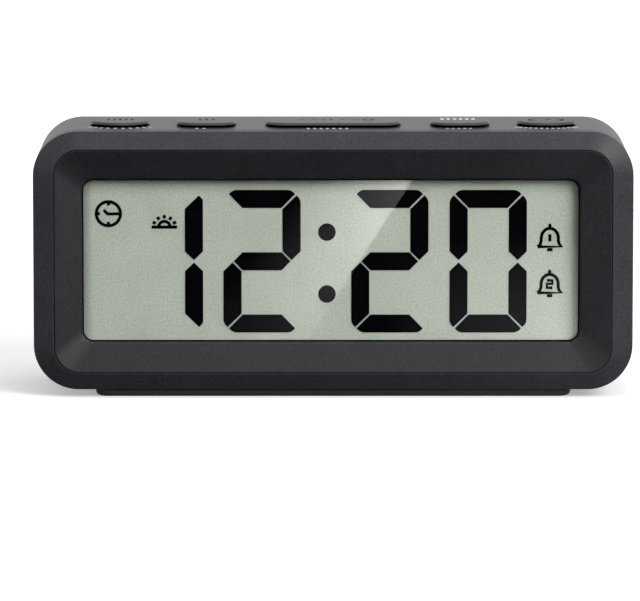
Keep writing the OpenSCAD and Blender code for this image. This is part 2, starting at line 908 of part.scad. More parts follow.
// Hollow button cap with a rounded top, a holding flange and a stem
module button(index) {
    l = BUTTON_L[index];
    roof_z = cap_top_z - button_wall;
    flange_z = flange_top_z - flange_t;
    color("#2d2d30")
        translate([BUTTON_X[index], button_y, 0]) {
            difference() {
                union() {
                    translate([0, 0, cap_top_z])
                        mirror([0, 0, 1])
                            soft_plate(l, button_d, button_d / 2 - eps, button_round, cap_top_z - flange_z);
                    translate([0, 0, flange_z])
                        linear_extrude(flange_t)
                            obround(l + 2 * flange_w, button_d + 2 * flange_w);
                }
                translate([0, 0, flange_z - past])
                    linear_extrude(roof_z - flange_z + past)
                        obround(l - 2 * button_wall, button_d - 2 * button_wall);
            }
            translate([0, 0, plunger_top_z])
                cylinder(d = stem_d, h = roof_z - plunger_top_z + eps);
        }
}

module mode_plunger() {
    plunger(0);
}

module set_plunger() {
    plunger(1);
}

module snooze_plunger() {
    plunger(2);
}

module up_plunger() {
    plunger(3);
}

module alarm_plunger() {
    plunger(4);
}

module mode_button() {
    button(0);
}

module set_button() {
    button(1);
}

module snooze_bar() {
    button(2);
}

module up_button() {
    button(3);
}

module alarm_button() {
    button(4);
}

// Tub that closes the back, with button openings, battery tray and screw pillars
module rear_case() {
    color("#313134")
        difference() {
            union() {
                face_on()
                    difference() {
                        translate([0, 0, back_z])
                            soft_plate(case_w, case_h, corner_r, back_round, rear_rim_z - back_z);
                        plate(case_w - 2 * wall, case_h - 2 * wall, corner_r - wall, back_in_z, front_z);
                    }
                face_on()
                    at_corners(screw_x, screw_y)
                        translate([0, 0, back_in_z - eps])
                            cylinder(r = pillar_r, h = post_end_z - back_in_z + eps);
                tray_shell();
                buzzer_seat();
                board_rails();
            }
            face_on()
                at_corners(screw_x, screw_y) {
                    translate([0, 0, back_z - past])
                        cylinder(r = screw_head_r + head_room, h = screw_seat_z - back_z + past);
                    translate([0, 0, screw_seat_z - past])
                        cylinder(r = screw_r + screw_clear, h = pillar_end_t + 2 * past);
                }
            tray_hollow();
            sound_openings();
            for (k = [0 : len(BUTTON_X) - 1])
                translate([BUTTON_X[k], button_y, top_in_z - past])
                    linear_extrude(wall + 2 * past)
                        obround(BUTTON_L[k] + 2 * button_gap, button_d + 2 * button_gap);
            for (side = [-1, 1])
                translate([side * peg_x, foot_y, foot_h - past])
                    cylinder(r = peg_r + peg_fit, h = wall + 2 * past);
        }
}

// Outside of the battery tray, fused to the back wall
module tray_shell() {
    back_y = -back_in_z + eps;
    floor_out_y = tray_floor_y - tray_floor;
    translate([tray_left - tray_wall, floor_out_y, case_mid_z - tray_h / 2 - tray_wall])
        cube([tray_l + 2 * tray_wall, back_y - floor_out_y, tray_h + 2 * tray_wall]);
    translate([tray_mid - tab_w / 2 - tray_wall, back_y - wall, case_mid_z])
        cube([tab_w + 2 * tray_wall, wall, opening_rise / 2 + tab_h + tray_wall]);
}

// Room for the cells, the door with its hooks, and the contacts' tails
module tray_hollow() {
    back_y = -back_in_z;
    translate([tray_left, tray_floor_y, case_mid_z - tray_h / 2])
        cube([tray_l, tray_depth + past, tray_h]);
    face_on()
        translate([tray_mid, 0, 0]) {
            plate(opening_l, opening_rise, door_r + door_gap, back_z - past, back_in_z);
            translate([0, opening_rise / 2, 0])
                plate(tab_w + 2 * door_gap, 2 * (tab_h + door_gap), door_r + door_gap,
                    back_z - past, back_in_z);
        }
    translate([tray_mid, -back_z + scoop_r - scoop_depth, hinge_z + opening_rise + tab_h])
        sphere(scoop_r);
    for (side = [-1, 1])
        translate([tray_mid + side * hook_x - hook_w / 2 - hook_room,
            -back_z - hook_swing - hook_room, hinge_z - hook_l - hook_room])
            cube([hook_w + 2 * hook_room, hook_swing + hook_room - wall,
                hook_l + hook_room + door_ledge + eps]);
    for (side = [-1, 1])
        translate([tray_left - eps, tray_floor_y - tray_floor - past,
            case_mid_z + side * cell_rise - tail_w / 2 - tail_room])
            cube([contact_t + tail_room + eps, tray_floor + 2 * past, tail_w + 2 * tail_room]);
}

// Ring that carries the sounder by its rim
module buzzer_seat() {
    face_on()
        translate([buzzer_x, 0, back_in_z - eps])
            difference() {
                cylinder(r = seat_r, h = buzzer_seat_h + buzzer_lip_h + eps);
                translate([0, 0, -past])
                    cylinder(r = buzzer_d / 2 - buzzer_land, h = buzzer_seat_h + buzzer_lip_h + 2 * past);
                translate([0, 0, buzzer_seat_h + eps])
                    cylinder(r = buzzer_d / 2 + buzzer_fit, h = buzzer_lip_h + past);
            }
}

// Ring of holes in the back that lets the sound out
module sound_openings() {
    face_on()
        translate([buzzer_x, 0, back_z - past]) {
            cylinder(d = sound_hole_d, h = wall + 2 * past);
            for (k = [1 : sound_holes])
                rotate([0, 0, 360 * k / sound_holes])
                    translate([sound_circle_r, 0, 0])
                        cylinder(d = sound_hole_d, h = wall + 2 * past);
        }
}

// Grooved rails under the top wall that the button board slides into
module board_rails() {
    low_z = button_board_z - board_t - rail_lip;
    rail_l = button_board_d + rail_t;
    for (side = [0, 1])
        mirror([side, 0, 0])
            difference() {
                translate([rail_x, button_board_y, low_z])
                    cube([rail_t, rail_l, top_in_z - low_z + eps]);
                translate([rail_x - past, button_board_y - past, button_board_z - board_t - rail_fit])
                    cube([rail_groove + past, button_board_d + rail_fit + past, board_t + 2 * rail_fit]);
            }
}

// Cover of the battery tray, with hooks below and a finger tab above
module battery_door() {
    color("#2e2e31") {
        face_on()
            translate([tray_mid, 0, 0])
                difference() {
                    union() {
                        plate(door_l, door_h, door_r, back_z, back_in_z);
                        translate([0, door_h / 2, 0])
                            plate(tab_w, 2 * tab_h, door_r, back_z, back_in_z);
                    }
                    for (k = [1 : grip_count])
                        translate([0, door_h / 2 + tab_h - k * grip_pitch, 0])
                            block(tab_w - 2 * door_r, grip_w, back_z - past, back_z + grip_t);
                }
        for (side = [-1, 1])
            translate([tray_mid + side * hook_x - hook_w / 2, -back_in_z - hook_gap - hook_t, 0]) {
                translate([0, 0, hinge_z - hook_l])
                    cube([hook_w, hook_t, hook_l + door_ledge]);
                translate([0, 0, hinge_z + door_gap])
                    cube([hook_w, hook_t + hook_gap + eps, door_ledge - door_gap]);
            }
    }
}

// Two cells side by side, pointing opposite ways
module battery_cells() {
    color("#3f6f9f")
        for (turn = [0, 1])
            translate([tray_mid, cell_y, case_mid_z])
                rotate([0, 180 * turn, 0])
                    translate([tray_l / 2 - contact_t - end_play / 2, 0, cell_rise])
                        rotate([0, -90, 0]) {
                            translate([0, 0, nub_l])
                                cylinder(d = cell_d, h = cell_l - nub_l);
                            cylinder(r = nub_r, h = nub_l + eps);
                        }
}

module battery_springs() {
    color("#c9ccd0")
        for (turn = [0, 1])
            translate([tray_mid, cell_y, case_mid_z])
                rotate([0, 180 * turn, 0])
                    translate([-tray_l / 2 + contact_t, 0, cell_rise])
                        rotate([0, 90, 0])
                            spring();
}

// Plates at the ends of the tray: two with solder tails and one that joins the cells
module battery_contacts() {
    plate_l = tray_depth - plate_gap - plate_top_gap;
    color("#b8bbbe") {
        for (side = [-1, 1])
            translate([tray_left, 0, case_mid_z + side * cell_rise]) {
                translate([0, tray_floor_y + plate_gap, -contact_w / 2])
                    cube([contact_t, plate_l, contact_w]);
                translate([0, tray_floor_y - tray_floor - tail_l, -tail_w / 2])
                    cube([contact_t, tray_floor + tail_l + plate_gap + eps, tail_w]);
            }
        translate([tray_right - contact_t, tray_floor_y + plate_gap, case_mid_z - cell_rise - contact_w / 2])
            cube([contact_t, plate_l, 2 * cell_rise + contact_w]);
    }
}

// Wire from a contact's tail to the main board
module battery_lead(side) {
    tail_y = tray_floor_y - tray_floor - tail_l;
    lead(
        [tray_left + contact_t / 2, tail_y, case_mid_z + side * cell_rise],
        [tray_left + lead_run, -board_back_z, case_mid_z + 2 * side * cell_rise],
        (tail_y + board_back_z) / 2
    );
}

module battery_lead_red() {
    color("#b3261e")
        battery_lead(-1);
}

module battery_lead_black() {
    color("#1c1c1e")
        battery_lead(1);
}

module buzzer_plate() {
    color("#c9a64a")
        face_on()
            translate([buzzer_x, 0, back_in_z + buzzer_seat_h])
                cylinder(d = buzzer_d, h = buzzer_t);
}

module buzzer_ceramic() {
    color("#d9d4c4")
        face_on()
            translate([buzzer_x, 0, back_in_z + buzzer_seat_h + buzzer_t])
                cylinder(d = ceramic_d, h = ceramic_t);
}

// Two wires from the sounder to the main board
module buzzer_leads() {
    plate_y = -back_in_z - buzzer_seat_h - buzzer_t;
    rim_x = (buzzer_d + ceramic_d) / 4;
    pad_x = buzzer_x - buzzer_pad_in;
    color("#8e1f1f") {
        lead([buzzer_x - rim_x, plate_y, case_mid_z],
            [pad_x, -board_back_z, case_mid_z - buzzer_pad_rise], buzzer_bow);
        lead([buzzer_x, plate_y - ceramic_t, case_mid_z],
            [pad_x, -board_back_z, case_mid_z + buzzer_pad_rise], buzzer_bow);
    }
}

module case_screws() {
    color("#8f9296")
        face_on()
            at_corners(screw_x, screw_y)
                translate([0, 0, screw_seat_z])
                    screw(screw_r, pillar_end_t + screw_grip, screw_head_r, screw_head_t);
}

// Soft plinth with its lower edge rounded, held by two pegs
module base_foot() {
    color("#262628")
        translate([0, foot_y, 0]) {
            soft_plate(foot_l, foot_d, foot_r, foot_round, foot_h);
            for (side = [-1, 1])
                translate([side * peg_x, 0, foot_h - eps])
                    cylinder(r = peg_r, h = wall + eps);
        }
}

front_bezel();
display_surround();
display_lens();
lcd_front_glass();
lcd_segments();
lcd_rear_glass();
lcd_frame();
light_guide();
zebra_strip();
backlight_leds();
main_board();
controller_chip();
quartz_crystal();
capacitor();
board_screws();
button_board();
ribbon_cable();
switch_bodies();
mode_plunger();
set_plunger();
snooze_plunger();
up_plunger();
alarm_plunger();
mode_button();
set_button();
snooze_bar();
up_button();
alarm_button();
rear_case();
battery_door();
battery_cells();
battery_springs();
battery_contacts();
battery_lead_red();
battery_lead_black();
buzzer_plate();
buzzer_ceramic();
buzzer_leads();
case_screws();
base_foot();
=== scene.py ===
import math

import bmesh
import bpy
from mathutils import Matrix, Vector
from mathutils.geometry import interpolate_bezier


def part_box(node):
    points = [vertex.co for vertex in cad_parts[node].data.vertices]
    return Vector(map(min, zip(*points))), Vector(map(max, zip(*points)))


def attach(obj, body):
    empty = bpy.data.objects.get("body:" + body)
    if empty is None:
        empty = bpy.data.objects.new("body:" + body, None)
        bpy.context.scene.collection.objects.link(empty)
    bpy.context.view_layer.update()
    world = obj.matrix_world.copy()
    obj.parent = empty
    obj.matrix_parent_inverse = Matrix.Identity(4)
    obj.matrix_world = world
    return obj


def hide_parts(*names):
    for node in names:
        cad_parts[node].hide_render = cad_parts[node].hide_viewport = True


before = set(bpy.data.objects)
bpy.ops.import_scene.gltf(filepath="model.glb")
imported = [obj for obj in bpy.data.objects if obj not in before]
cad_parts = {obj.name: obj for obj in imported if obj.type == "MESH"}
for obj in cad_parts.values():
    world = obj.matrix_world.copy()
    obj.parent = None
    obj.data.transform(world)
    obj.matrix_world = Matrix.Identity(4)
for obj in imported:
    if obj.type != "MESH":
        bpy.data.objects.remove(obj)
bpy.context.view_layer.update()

# Front bezel: the outer front moulding, charcoal ABS with a fine eroded grain.
# Its border slopes up to a ridge, a shelf behind the ridge carries the display surround,
# and a tongue and hollow posts behind the shelf meet the rear case and the screws.
MM = 0.001
bezel_low, bezel_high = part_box("front_bezel")
case_w = bezel_high.x - bezel_low.x
case_h = bezel_high.z - bezel_low.z
case_mid = (bezel_low.z + bezel_high.z) / 2
border_rise = 2.0 * MM
band_depth = 2.3 * MM
tongue_l = 2.0 * MM
shelf_drop = 2.0 * MM
shelf_t = 1.5 * MM
ridge_level = -bezel_low.y
edge_level = ridge_level - border_rise
parting_level = edge_level - band_depth
tongue_level = parting_level - tongue_l
shelf_level = ridge_level - shelf_drop
shelf_back = shelf_level - shelf_t
corner_r = 9.0 * MM
ridge_r = 5.0 * MM
border_side = 4.25 * MM
border_top = 3.6 * MM
ridge_w = case_w - 2 * border_side
ridge_h = case_h - 2 * border_top
seam = 0.12 * MM
land = 0.2 * MM
shelf_w = 1.6 * MM
tongue_out = 2.15 * MM
tongue_in = 3.15 * MM
parting_round = 0.35 * MM
edge_round = 0.16 * MM
ridge_round = 0.12 * MM
mouth_round = 0.04 * MM
CORNER_STEPS = 20
POST_STEPS = 24
WELD = 0.002 * MM
SHARP = math.radians(40)
face_on = Matrix.Translation((0, 0, case_mid)) @ Matrix.Rotation(math.pi / 2, 4, "X")


def rounded_loop(bm, outline, level, x=0.0):
    """Closed loop of edges in the front view: width, height and corner radius at a level."""
    w, h, r = outline
    before = set(bm.faces)
    corners = bmesh.ops.create_grid(bm, x_segments=1, y_segments=1, size=0.5)["verts"]
    bmesh.ops.scale(bm, vec=(w, h, 1), verts=corners)
    bmesh.ops.translate(bm, vec=(x, 0, level), verts=corners)
    bmesh.ops.bevel(bm, geom=corners, offset=r, offset_type="OFFSET", affect="VERTICES",
                    segments=CORNER_STEPS, profile=0.5, material=-1)
    flat = next(face for face in bm.faces if face not in before)
    edges = list(flat.edges)
    bmesh.ops.delete(bm, geom=[flat], context="FACES_ONLY")
    return edges


def shrunk(outline, inset):
    """Outline moved inwards all round."""
    w, h, r = outline
    return w - 2 * inset, h - 2 * inset, r - inset


def shift_loops(bm, loops, step):
    for count, loop in enumerate(loops):
        points = list({point for edge in loop for point in edge.verts})
        bmesh.ops.translate(bm, vec=(0, 0, count * step), verts=points)


def loft(bm, loops, closed=False):
    """Walls between each loop and the next. The loops stand apart while they are bridged,
    because two loops in one plane give the bridge no direction."""
    apart = 100 * MM
    shift_loops(bm, loops, apart)
    for this, following in zip(loops, loops[1:] + (loops[:1] if closed else [])):
        bmesh.ops.bridge_loops(bm, edges=this + following)
    shift_loops(bm, loops, -apart)


def round_edges(bm, edges, width, steps=3):
    bmesh.ops.bevel(bm, geom=edges, offset=width, offset_type="OFFSET", affect="EDGES",
                    segments=steps, profile=0.5, material=-1, clamp_overlap=True)


def hollow_post(bm, x, y, post_r, bore_r, post_l, bore_l):
    """Round post from the shelf backwards, with a blind screw hole."""
    end = shelf_back - post_l
    bottom = end + bore_l
    profile = ((0, shelf_back), (post_r, shelf_back), (post_r, end), (bore_r, end),
               (bore_r, bottom), (0, bottom))
    points = [bm.verts.new((x + across, y, level)) for across, level in profile]
    edges = [bm.edges.new(pair) for pair in zip(points, points[1:])]
    bmesh.ops.spin(bm, geom=points + edges, cent=(x, y, 0), axis=(0, 0, 1),
                   angle=2 * math.pi, steps=POST_STEPS, use_merge=True)
    bmesh.ops.remove_doubles(bm, verts=bm.verts, dist=WELD)


def linked(name, data):
    """Object that shows a mesh, a curve, a lamp or a camera in the scene."""
    made = bpy.data.objects.new(name, data)
    bpy.context.scene.collection.objects.link(made)
    return made


def mesh_object(bm, name):
    """Object at the origin from a finished bmesh."""
    mesh = bpy.data.meshes.new(name)
    bm.to_mesh(mesh)
    bm.free()
    return linked(name, mesh)


def made_piece(bm, name, place=Matrix.Identity(4)):
    """Piece with smooth faces and sharp corners, its place in its mesh."""
    bmesh.ops.recalc_face_normals(bm, faces=bm.faces)
    for face in bm.faces:
        face.smooth = True
    for edge in bm.edges:
        edge.smooth = edge.is_manifold and edge.calc_face_angle() < SHARP
    piece = mesh_object(bm, name)
    piece.data.transform(place)
    piece.modifiers.new("flat_faces", "WEIGHTED_NORMAL").keep_sharp = True
    return piece


def set_sockets(tree, node, sockets):
    """Each socket of a shader node linked to another, or set to a value."""
    for socket, value in sockets.items():
        if isinstance(value, bpy.types.NodeSocket):
            tree.links.new(value, node.inputs[socket])
        else:
            node.inputs[socket].default_value = value


def add_node(tree, kind, sockets=(), **settings):
    """Shader node with its settings, and its sockets linked or set."""
    made = tree.nodes.new(kind)
    for setting, value in settings.items():
        setattr(made, setting, value)
    set_sockets(tree, made, dict(sockets))
    return made


def worked(tree, operation, *values):
    """Result of one sum on values or sockets."""
    return add_node(tree, "ShaderNodeMath", dict(enumerate(values)), operation=operation).outputs[0]


def times(tree, colour, factor):
    """Colour made darker or lighter by a factor."""
    return add_node(tree, "ShaderNodeVectorMath", {0: colour, "Scale": factor},
                    operation="SCALE").outputs[0]


def object_place(tree):
    """Place on the piece, so that a pattern keeps its size and stays with the piece."""
    return add_node(tree, "ShaderNodeTexCoord").outputs["Object"]


def noise(tree, place, scale, detail, roughness=0.5):
    """Soft random pattern from 0 to 1."""
    return add_node(tree, "ShaderNodeTexNoise", {
        "Vector": place, "Scale": scale, "Detail": detail, "Roughness": roughness}).outputs["Fac"]


def made_group(name, inputs, outputs):
    """Empty shader group with named sockets, and its two end nodes."""
    group = bpy.data.node_groups.new(name, "ShaderNodeTree")
    for label, kind in inputs:
        group.interface.new_socket(label, in_out="INPUT", socket_type=kind)
    for label, kind in outputs:
        group.interface.new_socket(label, in_out="OUTPUT", socket_type=kind)
    return group, group.nodes.new("NodeGroupInput").outputs, group.nodes.new("NodeGroupOutput")


# Eroded mould grain: a spark-eroded tool leaves a fine speckle of tone, gloss and height,
# and a broad faint mottle. Each plastic takes it with its own scale and contrast.
BROAD_PER_METRE = 140.0
BROAD_SHARE = 0.25
SPECKLE_MEAN = 0.625
GLOSS_SPREAD = 0.15
GRAIN_DETAIL = 2.0
FINE_ROUGHNESS = 0.6
RELIEF_DEPTH = 0.05 * MM
moulded_grain, grain_in, grain_out = made_group(
    "moulded_grain",
    [("Tone", "NodeSocketColor"), ("Grains per metre", "NodeSocketFloat"),
     ("Contrast", "NodeSocketFloat"), ("Roughness", "NodeSocketFloat")],
    [("Color", "NodeSocketColor"), ("Roughness", "NodeSocketFloat"), ("Height", "NodeSocketFloat")])
grain_place = object_place(moulded_grain)
fine = noise(moulded_grain, grain_place, grain_in["Grains per metre"], GRAIN_DETAIL, FINE_ROUGHNESS)
broad = noise(moulded_grain, grain_place, BROAD_PER_METRE, GRAIN_DETAIL)
speckle = worked(moulded_grain, "MULTIPLY_ADD", broad, BROAD_SHARE, fine)
centred = worked(moulded_grain, "SUBTRACT", speckle, SPECKLE_MEAN)
shade = worked(moulded_grain, "MULTIPLY_ADD", centred, grain_in["Contrast"], 1.0)
gloss = worked(moulded_grain, "MULTIPLY_ADD", centred, GLOSS_SPREAD, grain_in["Roughness"])
set_sockets(moulded_grain, grain_out, {
    "Color": times(moulded_grain, grain_in["Tone"], shade), "Roughness": gloss, "Height": fine})


def new_finish(name):
    """New material, its node tree and its Principled shader."""
    made = bpy.data.materials.new(name)
    made.use_nodes = True
    return made, made.node_tree, made.node_tree.nodes["Principled BSDF"]


def bumped(tree, height, strength):
    """Surface direction over a shallow relief."""
    return add_node(tree, "ShaderNodeBump", {
        "Strength": strength, "Distance": RELIEF_DEPTH, "Height": height}).outputs["Normal"]


def moulded_plastic(name, tone, roughness, specular, grains=3200.0, contrast=2.2, relief=0.5):
    """Textured moulding: grain feeds colour, roughness and a shallow bump."""
    made, tree, shader = new_finish(name)
    grain = add_node(tree, "ShaderNodeGroup", {
        "Tone": (*tone, 1), "Grains per metre": grains, "Contrast": contrast,
        "Roughness": roughness}, node_tree=moulded_grain).outputs
    set_sockets(tree, shader, {
        "Base Color": grain["Color"], "Roughness": grain["Roughness"],
        "Normal": bumped(tree, grain["Height"], relief), "Specular IOR Level": specular})
    return made


case_plastic = moulded_plastic("case_plastic", (0.0280, 0.0266, 0.0327), roughness=0.42, specular=0.28)
outer = (case_w, case_h, corner_r)
mouth = (ridge_w + seam, ridge_h + seam, ridge_r + seam / 2)
shelf = (mouth[0] - 2 * shelf_w, mouth[1] - 2 * shelf_w, ridge_r - shelf_w)
bm = bmesh.new()
bezel_loops = [
    rounded_loop(bm, outer, parting_level),
    rounded_loop(bm, outer, edge_level),
    rounded_loop(bm, shrunk(mouth, -land), ridge_level),
    rounded_loop(bm, mouth, ridge_level),
    rounded_loop(bm, mouth, shelf_level),
    rounded_loop(bm, shelf, shelf_level),
    rounded_loop(bm, shelf, shelf_back),
    rounded_loop(bm, shrunk(outer, tongue_in), shelf_back),
    rounded_loop(bm, shrunk(outer, tongue_in), tongue_level),
    rounded_loop(bm, shrunk(outer, tongue_out), tongue_level),
    rounded_loop(bm, shrunk(outer, tongue_out), parting_level),
]
loft(bm, bezel_loops, closed=True)
round_edges(bm, bezel_loops[0], parting_round)
round_edges(bm, bezel_loops[1], edge_round, steps=4)
round_edges(bm, bezel_loops[2], ridge_round)
round_edges(bm, bezel_loops[3], mouth_round, steps=2)
screw_inset = 6.3 * MM
screw_x = case_w / 2 - screw_inset
screw_y = case_h / 2 - screw_inset
board_screw_inset = 1.55 * MM
board_screw_x = ridge_w / 2 - board_screw_inset
board_screw_y = 10.0 * MM
for side_x in (-1, 1):
    for side_y in (-1, 1):
        hollow_post(bm, side_x * screw_x, side_y * screw_y, post_r=2.2 * MM, bore_r=1.0 * MM,
                    post_l=6.25 * MM, bore_l=5.5 * MM)
        hollow_post(bm, side_x * board_screw_x, side_y * board_screw_y, post_r=2.0 * MM,
                    bore_r=0.85 * MM, post_l=4.3 * MM, bore_l=3.9 * MM)
bezel = made_piece(bm, "bezel_moulding", face_on)
bezel.data.materials.append(case_plastic)
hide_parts("front_bezel")
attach(bezel, "case")

# Display surround: the dished inner panel of darker ABS that drops from the ridge to the window.
# It is moulded on its own and pressed into the bezel, so a hairline seam runs along the ridge.
# The window's edge is rounded and catches a thin line of light.
surround_plastic = moulded_plastic("surround_plastic", (0.0150, 0.0142, 0.0180), roughness=0.40,
                                   specular=0.28)
lens_low, lens_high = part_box("display_lens")
lens_w = lens_high.x - lens_low.x
lens_h = lens_high.z - lens_low.z
lens_x = (lens_low.x + lens_high.x) / 2
lens_front = -lens_low.y
lens_lap = 1.5 * MM
left_lap = 1.3 * MM
window_x = (lens_low.x + left_lap + lens_high.x - lens_lap) / 2
window_r = 2.3 * MM
dish = 2.0 * MM
panel_fit = 0.3 * MM
seam_round = 0.05 * MM
window_round = 0.42 * MM
window = (lens_w - lens_lap - left_lap, lens_h - 2 * lens_lap, window_r)
panel = (ridge_w - seam, ridge_h - seam, ridge_r - seam / 2)
panel_land = (panel[0] - 2 * land, panel[1] - 2 * land, panel[2] - land / 2)
panel_back = (shelf[0] - 2 * panel_fit, shelf[1] - 2 * panel_fit, shelf[2])
lens_recess = (lens_w + 2 * panel_fit, lens_h + 2 * panel_fit, window_r)
bm = bmesh.new()
surround_loops = [
    rounded_loop(bm, panel, shelf_level),
    rounded_loop(bm, panel, ridge_level),
    rounded_loop(bm, panel_land, ridge_level),
    rounded_loop(bm, window, ridge_level - dish, window_x),
    rounded_loop(bm, window, lens_front, window_x),
    rounded_loop(bm, lens_recess, lens_front, lens_x),
    rounded_loop(bm, panel_back, shelf_level),
]
loft(bm, surround_loops, closed=True)
round_edges(bm, surround_loops[1], seam_round, steps=2)
round_edges(bm, surround_loops[2], ridge_round)
round_edges(bm, surround_loops[3], window_round, steps=6)
surround = made_piece(bm, "surround_panel", face_on)
surround.data.materials.append(surround_plastic)
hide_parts("display_surround")
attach(surround, "case")

# Painted shade on the window's face: a hairline frame of matt black ink along the edge of the
# opening, which stands for the shade on the opening's wall. It lies on the clear sheet's face.
shade_frame_w = 0.32 * MM
shade_frame_t = 0.03 * MM
# Near-black ink that paints the shade of the opening's wall.
shade_ink = moulded_plastic("shade_ink", (0.003, 0.003, 0.0034), roughness=0.6, specular=0.05,
                             contrast=0.4)
bm = bmesh.new()
loft(bm, [
    rounded_loop(bm, window, lens_front, window_x),
    rounded_loop(bm, window, lens_front + shade_frame_t, window_x),
    rounded_loop(bm, shrunk(window, shade_frame_w), lens_front + shade_frame_t, window_x),
    rounded_loop(bm, shrunk(window, shade_frame_w), lens_front, window_x),
], closed=True)
painted_shade_frame = made_piece(bm, "painted_shade_frame", face_on)
painted_shade_frame.data.materials.append(shade_ink)
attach(painted_shade_frame, "case")

# Window: a flat sheet of clear acrylic glued behind the surround, polished on both faces.
# Daylight falls through it, so shadow rays pass as through an open window.
WIPES_PER_METRE = 60.0
WIPE_DETAIL = 3.0
WIPE_RANGE = (0.4, 0.8)
HAZE = 0.012


def ranged(tree, value, source=(0, 1), target=(0, 1), **settings):
    """Value carried from one range to another and held at its ends."""
    return add_node(tree, "ShaderNodeMapRange", {
        "Value": value, "From Min": source[0], "From Max": source[1], "To Min": target[0],
        "To Max": target[1]}, **settings).outputs["Result"]


def clear_sheet(name, tint, ior):
    """Polished clear sheet, faintly uneven where it was wiped, that lets light through."""
    made, tree, shader = new_finish(name)
    wiped = noise(tree, object_place(tree), WIPES_PER_METRE, WIPE_DETAIL)
    set_sockets(tree, shader, {
        "Base Color": (*tint, 1), "IOR": ior, "Transmission Weight": 1.0,
        "Roughness": ranged(tree, wiped, WIPE_RANGE, (0, HAZE))})
    path = add_node(tree, "ShaderNodeLightPath")
    open_way = add_node(tree, "ShaderNodeBsdfTransparent", {"Color": (*tint, 1)})
    both = add_node(tree, "ShaderNodeMixShader", {
        0: path.outputs["Is Shadow Ray"], 1: shader.outputs["BSDF"], 2: open_way.outputs["BSDF"]})
    set_sockets(tree, tree.nodes["Material Output"], {"Surface": both.outputs["Shader"]})
    return made


def dress(node, finish):
    """A CAD node keeps its shape and takes a new finish."""
    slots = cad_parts[node].data.materials
    slots.clear()
    slots.append(finish)


dress("display_lens", clear_sheet("acrylic_window", (0.97, 0.975, 0.97), ior=1.45))

# Liquid-crystal display: two sheets of glass with the dark strokes between them.
# The rear sheet carries the grey-green reflective film, which has a very fine grain and a silvery
# coat that mirrors the room and the cloth's painted sheen. Its colour is painted darker towards its
# left end, as painted shade of the window's edge.
display_glass = clear_sheet("display_glass", (0.985, 0.99, 0.985), ior=1.2)
glass_low, glass_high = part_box("lcd_front_glass")
film_gap = Vector((0, 0.03 * MM, 0))
glass_round = 0.08 * MM
bm = bmesh.new()
sheet = bmesh.ops.create_cube(bm, size=1)["verts"]
bmesh.ops.scale(bm, vec=glass_high - glass_low - film_gap, verts=sheet)
bmesh.ops.translate(bm, vec=(glass_low + glass_high - film_gap) / 2, verts=sheet)
round_edges(bm, bm.edges[:], glass_round, steps=2)
cover_glass = made_piece(bm, "cover_glass")
cover_glass.data.materials.append(display_glass)
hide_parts("lcd_front_glass")
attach(cover_glass, "case")


def object_axes(tree):
    """Place on the piece, parted into X, Y and Z."""
    return add_node(tree, "ShaderNodeSeparateXYZ", {"Vector": object_place(tree)}).outputs


reflective_film = moulded_plastic("reflective_film", (0.638, 0.679, 0.590), roughness=0.5, specular=0.1,
                                  grains=2600.0, contrast=0.7, relief=0.05)
# Painted shade: the film's colour grows darker towards the window's left end.
PAINTED_SHADE_W = 2.4 * MM
PAINTED_SHADE_DEPTH = 0.5
tree = reflective_film.node_tree
film_shader = tree.nodes["Principled BSDF"]
film_colour = film_shader.inputs["Base Color"].links[0].from_socket
window_left = window_x - window[0] / 2
painted_end_shade = ranged(tree, object_axes(tree)["X"], (window_left + PAINTED_SHADE_W, window_left), (1, PAINTED_SHADE_DEPTH),
                   interpolation_type="SMOOTHSTEP")
set_sockets(tree, film_shader, {
    "Base Color": times(tree, film_colour, painted_end_shade), "Coat Weight": 1.0, "Coat IOR": 4.0,
    "Coat Roughness": 0.02})
dress("lcd_rear_glass", reflective_film)

# Digits and colon: strokes of dark film between the sheets, parted by hairlines of the ground.
# Each stroke is a little fuller than the solid that carries it and lies a little further left.
# The outer corners are round, less so on the first digit, and the dots hang lower.
segment_film = moulded_plastic("segment_film", (0.0022, 0.0018, 0.0030), roughness=0.45, specular=0.0,
                               grains=1500.0, contrast=0.6, relief=0.0)
segment_low, segment_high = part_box("lcd_segments")
DIGIT_GROWTH = 0.13 * MM
DIGIT_LEFT = 0.2 * MM
FIRST_LEFT = 0.06 * MM
FIRST_END = -25 * MM
DOT_DROP = 0.36 * MM
CORNER_REACH = 2.2 * MM
CORNER_TURN = math.radians(45)
CORNER_SPREAD = math.radians(10)
FIRST_ROUND = 0.3 * MM
LATER_ROUND = 0.7 * MM
SLACK = 0.02 * MM
FLAT = math.radians(1)


def copied_solid(node):
    """Mesh of a CAD part as whole faces, ready for finer work."""
    bm = bmesh.new()
    bm.from_mesh(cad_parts[node].data)
    bmesh.ops.remove_doubles(bm, verts=bm.verts, dist=WELD)
    bmesh.ops.dissolve_limit(bm, angle_limit=FLAT, verts=bm.verts, edges=bm.edges)
    return bm


def separate_strokes(bm):
    """Lists of the points that hang together."""
    seen = set()
    strokes = []
    for start in bm.verts:
        if start in seen:
            continue
        seen.add(start)
        stroke = [start]
        for point in stroke:
            for edge in point.link_edges:
                other = edge.other_vert(point)
                if other not in seen:
                    seen.add(other)
                    stroke.append(other)
        strokes.append(stroke)
    return strokes


